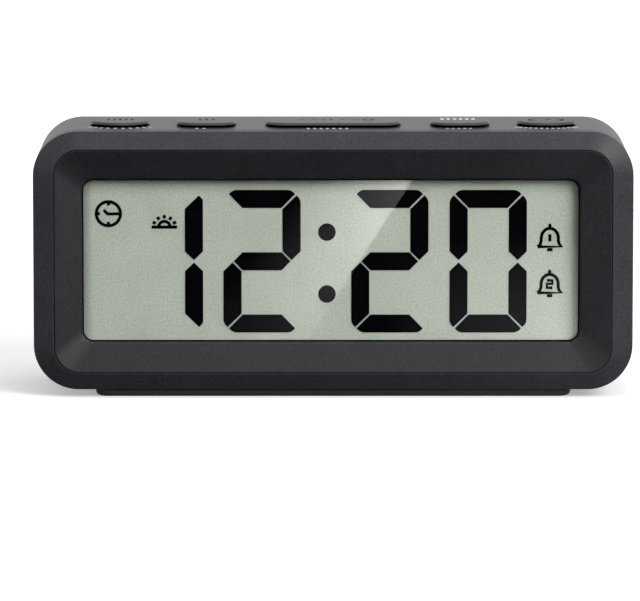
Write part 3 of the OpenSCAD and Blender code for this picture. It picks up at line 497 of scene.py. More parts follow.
bm = copied_solid("lcd_segments")
for stroke in separate_strokes(bm):
    across = [point.co.x for point in stroke]
    upward = [point.co.z for point in stroke]
    stroke_w = max(across) - min(across)
    stroke_h = max(upward) - min(upward)
    middle = Vector((min(across) + stroke_w / 2, 0, min(upward) + stroke_h / 2))
    is_dot = abs(stroke_w - stroke_h) < SLACK
    bmesh.ops.scale(bm, vec=(1 + DIGIT_GROWTH / stroke_w, 1, 1 + DIGIT_GROWTH / stroke_h),
                    space=Matrix.Translation(-middle), verts=stroke)
    left = FIRST_LEFT if middle.x < FIRST_END else DIGIT_LEFT
    bmesh.ops.translate(bm, vec=(0, 0, -DOT_DROP) if is_dot else (-left, 0, 0), verts=stroke)
digits_mid = (segment_low.z + segment_high.z) / 2
corner_zone = (segment_high.z - segment_low.z) / 2 - CORNER_REACH
outer_corners = [edge for edge in bm.edges
                 if abs(edge.verts[0].co.y - edge.verts[1].co.y) > SLACK
                 and abs(edge.calc_face_angle() - CORNER_TURN) < CORNER_SPREAD
                 and abs(edge.verts[0].co.z - digits_mid) > corner_zone]
first_corners = [edge for edge in outer_corners if edge.verts[0].co.x < FIRST_END]
later_corners = [edge for edge in outer_corners if edge.verts[0].co.x > FIRST_END]
round_edges(bm, first_corners, FIRST_ROUND, steps=4)
round_edges(bm, later_corners, LATER_ROUND, steps=4)
digits = made_piece(bm, "digit_film")
digits.data.materials.append(segment_film)
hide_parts("lcd_segments")
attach(digits, "case")

# Small signs of the display: a clock face, a rising sun for the morning and two alarm bells.
# They are drawn in the same dark film as the digits, in even lines with round ends.
# Their places and strokes are in millimetres from the middle of the front.
sign_back = segment_high.y
sign_depth = segment_high.y - segment_low.y
SIGN_LINE = 0.64 * MM
PEN_STEPS = 3


def arc(x, y, rx, ry, start, end, steps):
    """Points along part of an ellipse, angles in degrees."""
    turns = [math.radians(start + (end - start) * k / steps) for k in range(steps + 1)]
    return [(x + rx * math.cos(turn), y + ry * math.sin(turn)) for turn in turns]


def swept(name, paths, radius, steps):
    """Object of round section along open paths of points."""
    pen = bpy.data.curves.new(name, "CURVE")
    pen.dimensions = "3D"
    pen.bevel_depth = radius
    pen.bevel_resolution = steps
    pen.use_fill_caps = True
    for path in paths:
        line = pen.splines.new("POLY")
        line.points.add(len(path) - 1)
        for point, place in zip(line.points, path):
            point.co = (*place, 1)
        line.use_smooth = True
    drawing = linked(name, pen)
    mesh = bpy.data.meshes.new_from_object(
        drawing.evaluated_get(bpy.context.evaluated_depsgraph_get()))
    bpy.data.objects.remove(drawing)
    mesh.name = name
    return linked(name, mesh)


def drawn_lines(name, strokes, width, layer):
    """Flat pen strokes, each a list of points in millimetres, pressed to the thickness of a layer."""
    paths = [[(x * MM, y * MM, 0) for x, y in stroke] for stroke in strokes]
    piece = swept(name, paths, width / 2, PEN_STEPS)
    piece.data.transform(Matrix.Diagonal((1, 1, layer / width, 1)))
    return piece


def moved(strokes, x, y):
    """Strokes drawn about a middle, carried to their place."""
    return [[(x + dx, y + dy) for dx, dy in stroke] for stroke in strokes]


bell = [[(-2.45, -1.75), (-1.95, -1.35), (-1.72, -0.6), *arc(0, 0, 1.72, 1.95, 180, 0, 12),
         (1.72, -0.6), (1.95, -1.35), (2.45, -1.75), (-2.45, -1.75)],
        [(0, 1.95), (0, 2.75)],
        [(-0.2, 2.6), (0.2, 2.6)],
        [(-0.55, -2.35), (0.55, -2.35)]]
one = [[(0, 0.75), (0, -0.65)]]
two = [[(-0.55, 0.75), (0.55, 0.75), (0.55, 0.05), (-0.55, 0.05), (-0.55, -0.75), (0.55, -0.75)]]
dial = [arc(0, 0, 2.42, 2.42, 0, 360, 40),
        [(-0.95, 0.75), (-0.15, -0.05), (2.3, 0)],
        [(0, 2.2), (0.05, 1.65)],
        [(0, -2.2), (0, -1.65)],
        [(-2.2, 0), (-1.7, 0)]]
sunrise = [[(-2.55, 0), (2.55, 0)], arc(0, 0, 1.15, 1.15, 180, 0, 14)]
for degrees in (25, 57, 90, 123, 155):
    ray_x = math.cos(math.radians(degrees))
    ray_y = math.sin(math.radians(degrees))
    sunrise.append([(1.85 * ray_x, 1.75 * ray_y), (2.6 * ray_x, 2.45 * ray_y)])
sign_strokes = moved(dial, -45.0, 9.2) + moved(sunrise, -33.8, 6.5)
sign_strokes += moved(bell + one, 43.4, 4.3) + moved(bell + two, 43.4, -5.0)
signs = drawn_lines("display_signs", sign_strokes, SIGN_LINE, sign_depth)
signs.data.transform(Matrix.Translation((0, sign_back - sign_depth / 2, 0)) @ face_on)
signs.data.materials.append(segment_film)
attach(signs, "case")

# Stack behind the display: a white moulded frame, a frosted light guide with a lamp at each end,
# and a strip of striped contact rubber. The main board, screwed to the bezel's posts, holds them
# against the display.
white_plastic = moulded_plastic("white_plastic", (0.78, 0.78, 0.75), roughness=0.5, specular=0.4,
                                contrast=0.05)
frosted_guide = moulded_plastic("frosted_guide", (0.84, 0.86, 0.84), roughness=0.3, specular=0.5,
                                contrast=0.06)
lamp_body = moulded_plastic("lamp_body", (0.86, 0.82, 0.60), roughness=0.35, specular=0.5, contrast=0.08)
dress("lcd_frame", white_plastic)
dress("light_guide", frosted_guide)
dress("backlight_leds", lamp_body)
BAND_STOPS = (0.4, 0.6)
BAND_RELIEF = 0.3


def banded(name, tone, other, per_metre, roughness):
    """Finish with even bands across X, as on ribbon cable or contact rubber."""
    made, tree, shader = new_finish(name)
    bands = add_node(tree, "ShaderNodeTexWave", {"Vector": object_place(tree), "Scale": per_metre},
                     wave_type="BANDS", bands_direction="X").outputs["Fac"]
    ramp = add_node(tree, "ShaderNodeValToRGB", {"Fac": bands})
    for stop, position, colour in zip(ramp.color_ramp.elements, BAND_STOPS, (tone, other)):
        stop.position = position
        stop.color = (*colour, 1)
    set_sockets(tree, shader, {
        "Base Color": ramp.outputs["Color"], "Roughness": roughness,
        "Normal": bumped(tree, bands, BAND_RELIEF)})
    return made


dress("zebra_strip", banded("contact_rubber", (0.30, 0.31, 0.32), (0.02, 0.02, 0.022), per_metre=900.0,
                            roughness=0.7))

# Printed boards: green lacquered glass fibre with copper tracks that show through the lacquer.
# The main board is screwed to the bezel's posts, the button board slides into rails.
TRACK_RELIEF = 0.2
board_lacquer, tree, shader = new_finish("board_lacquer")
axes = object_axes(tree)
on_board = add_node(tree, "ShaderNodeCombineXYZ", {
    "X": axes["X"], "Y": worked(tree, "ADD", axes["Y"], axes["Z"])})
tracks = add_node(tree, "ShaderNodeTexBrick", {
    "Vector": on_board.outputs["Vector"], "Color1": (0.02, 0.12, 0.05, 1),
    "Color2": (0.016, 0.10, 0.045, 1), "Mortar": (0.05, 0.21, 0.09, 1), "Scale": 160.0,
    "Mortar Size": 0.03, "Bias": 0.0, "Brick Width": 0.9, "Row Height": 0.28})
set_sockets(tree, shader, {
    "Base Color": tracks.outputs["Color"], "Roughness": 0.3,
    "Normal": bumped(tree, tracks.outputs["Fac"], TRACK_RELIEF)})
dress("main_board", board_lacquer)
dress("button_board", board_lacquer)

# Components on the boards: a drop of resin over the chip, a steel crystal can, a sleeved capacitor,
# screws, moulded switches and a flat cable between the boards. All but the screws are soldered,
# and the plungers of the switches stand under the stems of the buttons.
TONE_LOSS = 0.85
WEAR = 0.12
STREAK_SCALE = 3.0
STREAK_DETAIL = 3.0
ALONG_X = (40.0, 900.0, 900.0)
EVEN_GRAIN = (900.0, 900.0, 900.0)


def plated_metal(name, tone, roughness, streaks=ALONG_X):
    """Plated or drawn metal with fine streaks of tone and gloss."""
    made, tree, shader = new_finish(name)
    along = add_node(tree, "ShaderNodeMapping", {"Vector": object_place(tree), "Scale": streaks})
    drawn = noise(tree, along.outputs["Vector"], STREAK_SCALE, STREAK_DETAIL)
    colour = add_node(tree, "ShaderNodeMix", {
        "Factor": drawn, "A": (*[TONE_LOSS * part for part in tone], 1), "B": (*tone, 1)},
        data_type="RGBA")
    set_sockets(tree, shader, {
        "Base Color": colour.outputs["Result"], "Metallic": 1.0,
        "Roughness": ranged(tree, drawn, target=(roughness - WEAR, roughness + WEAR))})
    return made


resin = moulded_plastic("sealing_resin", (0.010, 0.010, 0.011), roughness=0.35, specular=0.5,
                        grains=900.0, contrast=0.4)
bright_steel = plated_metal("bright_steel", (0.66, 0.67, 0.69), roughness=0.3)
sleeve = moulded_plastic("capacitor_sleeve", (0.03, 0.04, 0.09), roughness=0.35, specular=0.5,
                         contrast=0.2)
switch_plastic = moulded_plastic("switch_plastic", (0.03, 0.03, 0.034), roughness=0.45, specular=0.4)
ribbon_plastic = banded("ribbon_plastic", (0.66, 0.66, 0.62), (0.42, 0.43, 0.44), per_metre=250.0,
                        roughness=0.45)
dress("controller_chip", resin)
dress("quartz_crystal", bright_steel)
dress("board_screws", bright_steel)
dress("capacitor", sleeve)
dress("ribbon_cable", ribbon_plastic)
dress("switch_bodies", switch_plastic)
for plunger in ("mode_plunger", "set_plunger", "snooze_plunger", "up_plunger", "alarm_plunger"):
    dress(plunger, switch_plastic)

# Rear case: the tub behind the parting line, moulded in the same charcoal ABS.
# It holds the buttons in its top, the battery tray and the sounder behind, and the screw pillars.
tub_low, tub_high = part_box("rear_case")
RIM_ROUND = 0.06 * MM
BACK_ROUND = 0.35 * MM
RIM_BAND = 0.3 * corner_r


def softened(node, name, *roundings):
    """Copy of a CAD part with hard edges rounded, each rounding a width and a test of place."""
    bm = copied_solid(node)
    for width, is_there in roundings:
        hard = [edge for edge in bm.edges if edge.is_manifold
                and edge.calc_face_angle() > SHARP
                and all(is_there(point.co) for point in edge.verts)]
        round_edges(bm, hard, width)
    return made_piece(bm, name)


def on_back_or_top(point):
    return point.y > tub_high.y - SLACK or point.z > tub_high.z - SLACK


def on_rim(point):
    """True on the outer line of the rim that meets the bezel."""
    return point.y < tub_low.y + SLACK and max(
        abs(point.x) - case_w / 2, abs(point.z - case_mid) - case_h / 2) > -RIM_BAND


tub = softened("rear_case", "case_tub", (RIM_ROUND, on_rim), (BACK_ROUND, on_back_or_top))
tub.data.materials.append(case_plastic)
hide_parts("rear_case")
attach(tub, "case")

# Buttons: five satin caps in openings of the top, each held by a flange under the wall.
# A cap is hollow with a stem that presses its switch. Its plate overhangs a neck painted near-black
# as painted shade under the plate, spreads downwards and reaches over the front and the back of the
# opening; the outer two are round.
button_plastic = moulded_plastic("button_plastic", (0.042, 0.040, 0.0455), roughness=0.42, specular=0.25,
                                 grains=4200.0, contrast=0.6, relief=0.25)
# Near-black paint on the neck: painted shade under the plate's overhang.
neck_shade_paint = moulded_plastic("neck_shade_paint", (0.002, 0.002, 0.0022), roughness=0.8, specular=0.0,
                             contrast=0.4)
case_top = case_mid + case_h / 2
top_wall = 2.1 * MM
button_flange = 1.1 * MM
flange_t = 1.0 * MM
flange_low = case_top - top_wall - flange_t
cap_wall = 1.2 * MM
plate_t = 0.48 * MM
plate_sunk = 0.1 * MM
plate_reach = 1.8 * MM
plate_r = 3.6 * MM
plate_flare = 0.22 * MM
plate_brim = 0.1 * MM
chamfer = 0.15 * MM
cap_round = 0.05 * MM
neck_in = 0.4 * MM
stem_r = 1.6 * MM
STEM_STEPS = 24
short_of_half = 0.01 * MM


def button_cap(name, node, is_round=False):
    low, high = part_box(node)
    flange_l = high.x - low.x
    flange_d = high.y - low.y
    bm = bmesh.new()

    def outline(inset, level):
        depth = flange_d - 2 * inset
        return rounded_loop(bm, (flange_l - 2 * inset, depth, depth / 2 - short_of_half), level)

    def plate(inset, level):
        length = flange_l - 2 * button_flange - 2 * inset
        depth = flange_d - 2 * button_flange + 2 * plate_reach - 2 * inset
        corner = min(length, depth) / 2 - short_of_half if is_round else plate_r - inset
        return rounded_loop(bm, (length, depth, corner), level)

    plate_top = high.z - plate_sunk
    plate_low = plate_top - plate_t
    ceiling = plate_top - cap_wall
    flange_top = flange_low + flange_t
    loops = [
        outline(button_flange + cap_wall, ceiling),
        outline(button_flange + cap_wall, flange_low),
        outline(0, flange_low),
        outline(0, flange_top),
        outline(button_flange + neck_in, flange_top),
        outline(button_flange + neck_in, plate_low),
        plate(-plate_flare, plate_low),
        plate(-plate_flare, plate_low + plate_brim),
        plate(chamfer, plate_top),
    ]
    loft(bm, loops)
    bmesh.ops.contextual_create(bm, geom=loops[0])
    bmesh.ops.contextual_create(bm, geom=loops[-1])
    # Faces of the neck take the painted shade.
    for face in bm.faces:
        face.material_index = int(flange_top < face.calc_center_median().z < plate_low)
    round_edges(bm, loops[-1], cap_round)
    round_edges(bm, loops[-2], cap_round)
    stem = bmesh.ops.create_cone(bm, cap_ends=True, segments=STEM_STEPS, radius1=stem_r, radius2=stem_r,
                                 depth=ceiling - low.z)["verts"]
    bmesh.ops.translate(bm, vec=(0, 0, (ceiling + low.z) / 2), verts=stem)
    cap = made_piece(bm, name, Matrix.Translation(((low.x + high.x) / 2, (low.y + high.y) / 2, 0)))
    cap.data.materials.append(button_plastic)
    cap.data.materials.append(neck_shade_paint)
    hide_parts(node)
    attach(cap, node)


button_cap("mode_cap", "mode_button", is_round=True)
button_cap("set_cap", "set_button")
button_cap("snooze_cap", "snooze_bar")
button_cap("up_cap", "up_button")
button_cap("alarm_cap", "alarm_button", is_round=True)

# Marks on the top: plain strokes in white ink on the case before each button, and dark engraved
# or white printed strokes on the caps, with a ring and a pointer on the right one.
# Their places and strokes are in millimetres from the middle of the top.
white_ink = moulded_plastic("white_ink", (0.72, 0.72, 0.71), roughness=0.6, specular=0.2, contrast=0.2,
                            relief=0.1)
engraved = moulded_plastic("engraved", (0.004, 0.004, 0.0045), roughness=0.7, specular=0.1, contrast=0.4,
                           relief=0.1)
INK_T = 0.02 * MM
CASE_LINE = 0.62 * MM
CAP_LINE = 0.5 * MM
BAR_LINE = 0.55 * MM
UP_LINE = 0.7 * MM
RING_LINE = 0.6 * MM
FAN_START, FAN_SPAN = 218, 104
FAN_NEAR = (7.1, 6.2)
FAN_FAR = (8.1, 7.6)
OUTER_X, INNER_X = 42.9, 25.5
bar_low, bar_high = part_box("snooze_bar")
button_y = (bar_low.y + bar_high.y) / 2 / MM
cap_level = bar_high.z - plate_sunk


def row_of_strokes(x, y, count, pitch, length):
    """Strokes from front to back, side by side about a middle."""
    places = [x + (k - (count - 1) / 2) * pitch for k in range(count)]
    return [[(place, y - length / 2), (place, y + length / 2)] for place in places]


def fan_of_strokes(x, count):
    """Strokes fanned along the front of a round button."""
    strokes = []
    for k in range(count):
        turn = math.radians(FAN_START + FAN_SPAN * k / (count - 1))
        strokes.append([(x + reach_x * math.cos(turn), button_y + reach_y * math.sin(turn))
                        for reach_x, reach_y in (FAN_NEAR, FAN_FAR)])
    return strokes


def mark(name, strokes, width, level, finish, body):
    drawing = drawn_lines(name, strokes, width, INK_T)
    drawing.data.transform(Matrix.Translation((0, 0, level)))
    drawing.data.materials.append(finish)
    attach(drawing, body)


case_strokes = fan_of_strokes(-OUTER_X, 10) + fan_of_strokes(OUTER_X, 13)
case_strokes += row_of_strokes(-26.6, button_y - 7.0, count=2, pitch=1.4, length=1.3)
case_strokes += row_of_strokes(-1.15, button_y - 7.2, count=7, pitch=1.28, length=1.5)
case_strokes += row_of_strokes(25.2, button_y - 7.0, count=5, pitch=1.15, length=1.0)
mark("case_marks", case_strokes, CASE_LINE, case_top, white_ink, "case")
mode_strokes = row_of_strokes(-OUTER_X, button_y + 0.8, count=5, pitch=1.2, length=2.4)
mark("mode_marks", mode_strokes, CAP_LINE, cap_level, engraved, "mode_button")
set_strokes = row_of_strokes(-INNER_X, button_y + 0.8, count=3, pitch=1.3, length=2.4)
mark("set_marks", set_strokes, CAP_LINE, cap_level, engraved, "set_button")
bar_y = button_y + 0.6
bar_strokes = row_of_strokes(-1.2, bar_y, count=2, pitch=1.6, length=1.2)
bar_strokes += [[(x - 0.7, bar_y), (x + 0.7, bar_y)] for x in (-6.3, -3.7, 1.9, 4.3)]
bar_strokes += [arc(7.1, bar_y, 0.95, 1.5, 0, 360, 24)]
mark("snooze_marks", bar_strokes, BAR_LINE, cap_level, engraved, "snooze_bar")
up_strokes = row_of_strokes(INNER_X - 0.4, button_y + 2.0, count=6, pitch=1.25, length=2.8)
mark("up_marks", up_strokes, UP_LINE, cap_level, white_ink, "up_button")
ring_sign = [arc(0, 0, 3.4, 3.4, 0, 360, 48),
             [(-0.9, -0.6), (0, 0), (1.0, 1.6)],
             [(-2.3, -0.4), (-2.3, 0.4)],
             [(2.3, -0.4), (2.3, 0.4)]]
mark("alarm_marks", moved(ring_sign, OUTER_X, button_y + 0.3), RING_LINE, cap_level, engraved,
     "alarm_button")

# Battery cells: two AAA cells side by side, pointing opposite ways, in printed shrink jackets.
# Each is turned from the profile of a real cell: nub, crimped shoulder, jacket and base.
cells_low, cells_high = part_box("battery_cells")
cells_x = (cells_low.x + cells_high.x) / 2
cells_y = (cells_low.y + cells_high.y) / 2
half_l = (cells_high.x - cells_low.x) / 2
cell_r = (cells_high.y - cells_low.y) / 2
cell_rise = (cells_high.z - cells_low.z) / 2 - cell_r
cell_l = 44.5 * MM
bare_r = 4.45 * MM
CELL_STEPS = 64
SCUFFS_PER_METRE = 300.0
SCUFF_DETAIL = 4.0
SCUFF_GLOSS = (0.2, 0.45)
JACKET_PRINT = ((0.0, (0.028, 0.034, 0.05, 1)), (0.70, (0.60, 0.60, 0.60, 1)),
                (0.715, (0.56, 0.30, 0.10, 1)))
CELL_PROFILE = ((0, 0), (0, 1.6), (0.2, 2.05), (0.45, 2.2), (1.05, 2.2), (1.15, 2.5), (1.15, 4.3),
                (1.02, 4.6), (1.02, 4.95), (1.15, 5.15), (1.45, 5.25), (43.9, 5.25), (44.2, 5.15),
                (44.35, 4.9), (44.35, 4.6), (44.2, 4.35), (44.3, 4.2), (44.5, 4.0), (44.5, 0))
jacket, tree, shader = new_finish("cell_jacket")
axes = object_axes(tree)
pointing = worked(tree, "SIGN", worked(tree, "SUBTRACT", axes["Z"], case_mid))
along_cell = worked(tree, "MULTIPLY", worked(tree, "SUBTRACT", axes["X"], cells_x), pointing)
ramp = add_node(tree, "ShaderNodeValToRGB", {"Fac": ranged(tree, along_cell, (half_l - cell_l, half_l))})
ramp.color_ramp.interpolation = "CONSTANT"
ramp.color_ramp.elements.new(JACKET_PRINT[1][0])
for stop, (position, colour) in zip(ramp.color_ramp.elements, JACKET_PRINT):
    stop.position = position
    stop.color = colour
scuff = noise(tree, object_place(tree), SCUFFS_PER_METRE, SCUFF_DETAIL)
set_sockets(tree, shader, {
    "Base Color": ramp.outputs["Color"], "Metallic": 0.5,
    "Roughness": ranged(tree, scuff, target=SCUFF_GLOSS)})
bm = bmesh.new()
for way in (1, -1):
    nub_end = cells_x + way * half_l
    middle = Vector((0, cells_y, case_mid + way * cell_rise))
    points = [bm.verts.new((nub_end - way * along * MM, cells_y, middle.z + across * MM))
              for along, across in CELL_PROFILE]
    edges = [bm.edges.new(pair) for pair in zip(points, points[1:])]
    bmesh.ops.spin(bm, geom=points + edges, cent=middle, axis=(1, 0, 0), angle=2 * math.pi,
                   steps=CELL_STEPS, use_merge=True)
bmesh.ops.remove_doubles(bm, verts=bm.verts, dist=WELD)
for face in bm.faces:
    heart = face.calc_center_median()
    across = min(math.hypot(heart.y - cells_y, heart.z - case_mid - way * cell_rise) for way in (1, -1))
    face.material_index = int(across < bare_r)
cells = made_piece(bm, "jacketed_cells")
cells.data.materials.append(jacket)
cells.data.materials.append(bright_steel)
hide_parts("battery_cells")
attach(cells, "case")

# Battery springs and contacts: springs coned from plated wire, wide at the plate and narrow at
# the cell, and flat plates of the same metal.
springs_low, springs_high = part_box("battery_springs")
spring_l = 5.1 * MM
spring_wire = 0.35 * MM
spring_room = spring_l - 2.1 * spring_wire
spring_r = 3.5 * MM
spring_tip_r = 2.2 * MM
SPRING_TURNS = 4
COIL_STEPS = 40 * SPRING_TURNS
WIRE_STEPS = 4
coils = []
for way in (1, -1):
    plate_end = springs_low.x if way > 0 else springs_high.x
    coil = []
    for k in range(COIL_STEPS + 1):
        part = k / COIL_STEPS
        turn = 2 * math.pi * SPRING_TURNS * part
        across = spring_r + (spring_tip_r - spring_r) * part
        along = spring_wire + spring_room * part
        coil.append((plate_end + way * along, cells_y + across * math.sin(turn),
                     case_mid + way * cell_rise + across * math.cos(turn)))
    coils.append(coil)
springs = swept("coned_springs", coils, spring_wire, WIRE_STEPS)
springs.data.materials.append(bright_steel)
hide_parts("battery_springs")
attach(springs, "case")
dress("battery_contacts", bright_steel)

# Wires: stranded copper in coloured sleeves, with a bead of solder on each end.
# One red and one black wire join the battery contacts to the main board, and two more wires
# join the sounder to it.
red_sleeve = moulded_plastic("red_sleeve", (0.40, 0.02, 0.02), roughness=0.4, specular=0.5, grains=900.0,
                             contrast=0.2)
black_sleeve = moulded_plastic("black_sleeve", (0.015, 0.015, 0.016), roughness=0.4, specular=0.5,
                               grains=900.0, contrast=0.2)
solder = plated_metal("solder", (0.62, 0.62, 0.63), roughness=0.25, streaks=EVEN_GRAIN)
LEAD_R = 0.55 * MM
BEAD_R = 1.25 * LEAD_R
BEAD_FLAT = 0.55
BEAD_IN = 0.7 * LEAD_R
SOUNDER_BOW = 8 * MM
PATH_POINTS = 33


def wire_path(start, end, bow):
    """Smooth bend that leaves one point forwards and meets the other from behind."""
    forwards = Vector((0, bow, 0))
    return interpolate_bezier(start, start - forwards, end + forwards, end, PATH_POINTS)


def sleeved_wire(name, node, paths, sleeve):
    """Sleeves along the paths, with a solder bead on each end, in one piece."""
    wire = swept(name, paths, LEAD_R, WIRE_STEPS)
    bm = bmesh.new()
    bm.from_mesh(wire.data)
    for path in paths:
        for end, inward in ((path[0], path[1]), (path[-1], path[-2])):
            before = set(bm.faces)
            bead = bmesh.ops.create_uvsphere(bm, u_segments=16, v_segments=8, radius=BEAD_R)["verts"]
            bmesh.ops.scale(bm, vec=(1, BEAD_FLAT, 1), verts=bead)
            bmesh.ops.translate(bm, vec=end + (inward - end).normalized() * BEAD_IN, verts=bead)
            for face in set(bm.faces) - before:
                face.material_index = 1
                face.smooth = True
    bm.to_mesh(wire.data)
    bm.free()
    wire.data.materials.append(sleeve)
    wire.data.materials.append(solder)
    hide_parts(node)
    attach(wire, "case")


red_low, red_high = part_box("battery_lead_red")
sleeved_wire("red_wire", "battery_lead_red", [wire_path(
    Vector((red_low.x + LEAD_R, red_high.y, red_high.z - LEAD_R)),
    Vector((red_high.x - LEAD_R, red_low.y, red_low.z + LEAD_R)),
    (red_high.y - red_low.y) / 2)], red_sleeve)
black_low, black_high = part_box("battery_lead_black")
sleeved_wire("black_wire", "battery_lead_black", [wire_path(
    Vector((black_low.x + LEAD_R, black_high.y, black_low.z + LEAD_R)),
    Vector((black_high.x - LEAD_R, black_low.y, black_high.z - LEAD_R)),
    (black_high.y - black_low.y) / 2)], black_sleeve)
brass_low, brass_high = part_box("buzzer_plate")
ceramic_low, ceramic_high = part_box("buzzer_ceramic")
leads_low, leads_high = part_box("buzzer_leads")
sounder_x = (brass_low.x + brass_high.x) / 2
rim_x = (brass_high.x - brass_low.x + ceramic_high.x - ceramic_low.x) / 4
pad_x = leads_low.x + LEAD_R
sleeved_wire("sounder_wires", "buzzer_leads", [
    wire_path(Vector((sounder_x - rim_x, brass_low.y, case_mid)),
              Vector((pad_x, leads_low.y, leads_low.z + LEAD_R)), SOUNDER_BOW),
    wire_path(Vector((sounder_x, ceramic_low.y, case_mid)),
              Vector((pad_x, leads_low.y, leads_high.z - LEAD_R)), SOUNDER_BOW),
], red_sleeve)

# Sounder: a thin brass plate with a disc of pale ceramic bonded to it.
# It rests in a ring of the rear case behind the sound holes.
dress("buzzer_plate", plated_metal("sounder_brass", (0.72, 0.52, 0.22), roughness=0.35))
dress("buzzer_ceramic", moulded_plastic("sounder_ceramic", (0.76, 0.73, 0.64), roughness=0.6,
                                        specular=0.3, contrast=0.1))

# Battery door: a flat cover in the back, moulded in the case's ABS with its outer edge rounded.
# It tilts open on hooks below and has a ribbed press tab above.
DOOR_ROUND = 0.3 * MM
door_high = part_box("battery_door")[1]


def on_outer_face(point):
    return point.y > door_high.y - SLACK


door = softened("battery_door", "door_cover", (DOOR_ROUND, on_outer_face))
door.data.materials.append(case_plastic)
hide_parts("battery_door")
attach(door, "battery_door")

# Case screws: blackened steel pan heads, deep in the four pillars of the back.
# They run into the bezel's hollow posts and hold the two shells together.
dress("case_screws", plated_metal("black_steel", (0.09, 0.09, 0.095), roughness=0.4))

# Foot: a low plinth of soft black elastomer with two pegs that snap into the case's floor.
# Its ends and its front lie further out than those of the solid, to just behind the bezel.
foot_rubber = moulded_plastic("foot_rubber", (0.034, 0.032, 0.0325), roughness=0.65, specular=0.25,
                              grains=2500.0, contrast=0.3)
foot_low, foot_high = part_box("base_foot")
END_REACH = 0.7 * MM
FRONT_REACH = 2.2 * MM
END_ZONE = 4 * MM
bm = copied_solid("base_foot")
for side_x in (-1, 1):
    end = [point for point in bm.verts if side_x * point.co.x > foot_high.x - END_ZONE]
    bmesh.ops.translate(bm, vec=(side_x * END_REACH, 0, 0), verts=end)
front = [point for point in bm.verts if point.co.y < foot_low.y + END_ZONE]
bmesh.ops.translate(bm, vec=(0, -FRONT_REACH, 0), verts=front)
foot = made_piece(bm, "foot_plinth")
foot.data.materials.append(foot_rubber)
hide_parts("base_foot")
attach(foot, "case")

# Camera: a long lens a good metre in front of the clock, looking down a little.
# It aims left of the clock's middle and below it, so the clock stands high in the picture.
PIXELS_PER_MM = 5.0
IMAGE_W = 640
SENSOR = 36.0
VIEW_DISTANCE = 1200 * MM
LOOK_DOWN = math.radians(7.5)
front_centre = Vector((0, -edge_level, case_mid))
centre_right = 13.2 / PIXELS_PER_MM * MM
centre_above = 39.75 / PIXELS_PER_MM * MM
towards_viewer = Vector((0, -math.cos(LOOK_DOWN), math.sin(LOOK_DOWN)))
view_up = Vector((0, math.sin(LOOK_DOWN), math.cos(LOOK_DOWN)))
image_centre = front_centre - Vector((centre_right, 0, 0)) - view_up * centre_above


def aim(thing, target, direction, distance):
    """Camera or lamp set at a distance from its target and turned to it."""
    thing.location = target + direction * distance
    thing.rotation_mode = "QUATERNION"
    thing.rotation_quaternion = (-direction).to_track_quat("-Z", "Y")


camera_data = bpy.data.cameras.new("camera")
camera_data.sensor_fit = "HORIZONTAL"
camera_data.sensor_width = SENSOR
camera_data.lens = PIXELS_PER_MM * VIEW_DISTANCE / MM / IMAGE_W * SENSOR
camera = linked("camera", camera_data)
aim(camera, image_centre, towards_viewer, VIEW_DISTANCE)
bpy.context.scene.camera = camera

# Floor: a pale painted floor under the clock, which keeps the clock's shadow.
# It is white to the eye and in glass, and gives only part of that as light.
FLOOR_R = 6.0
FLOOR_STEPS = 64
FLOOR_TONES = (0.45, 0.9)
LIFT_FROM, LIFT_TO = 0.12, 0.6
LIFTS = (0.35, 0.8)


def seen_mask(tree):
    """1 for rays that look at the background directly, in a reflection or through glass."""
    path = add_node(tree, "ShaderNodeLightPath").outputs
    direct = worked(tree, "MAXIMUM", path["Is Camera Ray"], path["Is Glossy Ray"])
    return worked(tree, "MAXIMUM", direct, path["Is Transmission Ray"])


def bare_finish(name):
    """New material without its Principled shader, and its node tree."""
    made, tree, shader = new_finish(name)
    tree.nodes.remove(shader)
    return made, tree


bm = bmesh.new()
bmesh.ops.create_circle(bm, cap_ends=True, segments=FLOOR_STEPS, radius=FLOOR_R)
floor = mesh_object(bm, "floor")
floor_paint, tree = bare_finish("floor_paint")
mask = seen_mask(tree)
away = add_node(tree, "ShaderNodeVectorMath", {0: object_place(tree)}, operation="LENGTH")
lift = ranged(tree, away.outputs["Value"], (LIFT_FROM, LIFT_TO), LIFTS)
matt = add_node(tree, "ShaderNodeBsdfDiffuse", {"Color": ranged(tree, mask, target=FLOOR_TONES)})
shine = add_node(tree, "ShaderNodeEmission", {"Strength": worked(tree, "MULTIPLY", mask, lift)})
whole = add_node(tree, "ShaderNodeAddShader", {0: matt.outputs["BSDF"], 1: shine.outputs["Emission"]})
set_sockets(tree, tree.nodes["Material Output"], {"Surface": whole.outputs["Shader"]})
floor.data.materials.append(floor_paint)

# Dark cloth: it lies on the floor before the clock, shows only in reflections and keeps the window
# clear. A slanting band of it glows with painted light, which the window shows as a painted sheen
# with one sharp edge, and a faint patch on the right glows too.
CLOTH_NEAR = -13 * MM
CLOTH_FAR = -1500 * MM
CLOTH_SIDE = 900 * MM
CLOTH_LIFT = 0.3 * MM
EDGE_SLOPE = -0.0871
EDGE_START = -13.24 * MM
FADE_W = 27 * MM
FADE_POWER = 1.3
RISE_L = 363 * MM
RISE_POWER = 1.1
SHEEN_LEVEL = 0.68
PATCH_X = (12 * MM, 52 * MM)
PATCH_Y = (-270 * MM, -90 * MM)
PATCH_LEVEL = 0.34
bm = bmesh.new()
sheet = bmesh.ops.create_grid(bm, x_segments=1, y_segments=1, size=0.5)["verts"]
bmesh.ops.scale(bm, vec=(2 * CLOTH_SIDE, CLOTH_NEAR - CLOTH_FAR, 1), verts=sheet)
bmesh.ops.translate(bm, vec=(0, (CLOTH_NEAR + CLOTH_FAR) / 2, CLOTH_LIFT), verts=sheet)
cloth = mesh_object(bm, "dark_cloth")
cloth.visible_camera = False
cloth.visible_diffuse = False
cloth.visible_shadow = False
cloth_painted_glow, tree = bare_finish("cloth_painted_glow")
axes = object_axes(tree)
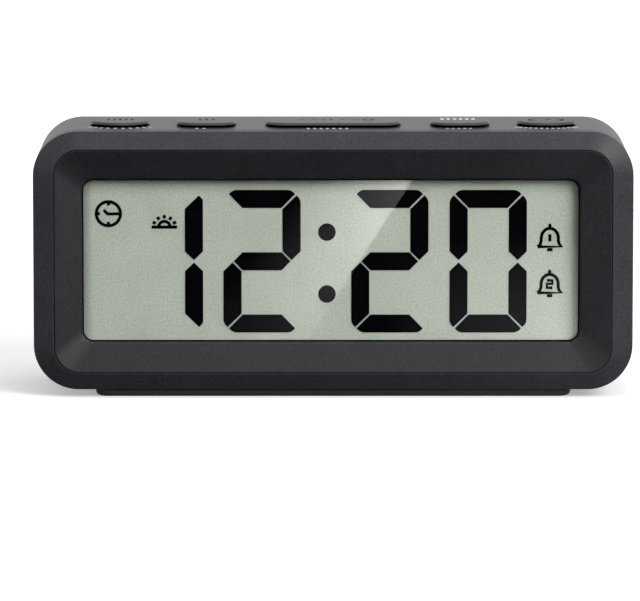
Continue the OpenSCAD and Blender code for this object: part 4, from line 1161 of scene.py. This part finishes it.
# Painted light: a slanting band and a patch of the cloth glow, and the window and film reflect them as a
# painted sheen.
edge_x = worked(tree, "MULTIPLY_ADD", axes["Y"], EDGE_SLOPE, EDGE_START)
left_of_edge = worked(tree, "SUBTRACT", edge_x, axes["X"])
fade = worked(tree, "POWER", ranged(tree, left_of_edge, (0, FADE_W), (1, 0)), FADE_POWER)
painted_band_glow = worked(tree, "MULTIPLY", fade, worked(tree, "GREATER_THAN", left_of_edge, 0.0))
rise = worked(tree, "POWER", ranged(tree, axes["Y"], (0, -RISE_L)), RISE_POWER)
sheen = worked(tree, "MULTIPLY", painted_band_glow, worked(tree, "MULTIPLY", rise, SHEEN_LEVEL))
patch = worked(tree, "MULTIPLY", ranged(tree, axes["X"], PATCH_X), ranged(tree, axes["Y"], PATCH_Y))
painted_sheen_glow = worked(tree, "MULTIPLY_ADD", patch, PATCH_LEVEL, sheen)
glow = add_node(tree, "ShaderNodeEmission", {"Strength": painted_sheen_glow})
set_sockets(tree, tree.nodes["Material Output"], {"Surface": glow.outputs["Emission"]})
cloth.data.materials.append(cloth_painted_glow)

# Room and lamps: even light from a white room, and three round lamps with soft edges.
# The strong one stands high on the right in front, a weak one lower there, and a weak one above.
# The room is white to the eye and in glass, and gives only part of that as light.
ROOM_LEVELS = (0.525, 1.0)
WHITE = (1, 1, 1, 1)
world = bpy.data.worlds.new("white_room")
bpy.context.scene.world = world
world.use_nodes = True
tree = world.node_tree
set_sockets(tree, tree.nodes["Background"], {
    "Color": WHITE, "Strength": ranged(tree, seen_mask(tree), target=ROOM_LEVELS)})


def soft_lamp(name, direction, distance, size, power):
    """Round lamp that faces the clock."""
    light = bpy.data.lights.new(name, "AREA")
    light.shape = "DISK"
    light.size = size
    light.energy = power
    aim(linked(name, light), front_centre, Vector(direction).normalized(), distance)


soft_lamp("side_lamp", (0.58, -0.65, 0.50), distance=1.0, size=0.6, power=7.0)
soft_lamp("low_lamp", (0.45, -0.86, 0.22), distance=1.0, size=0.6, power=1.05)
soft_lamp("top_lamp", (0.10, -0.20, 0.97), distance=0.7, size=0.3, power=0.75)
bpy.context.scene.view_settings.view_transform = "Standard"
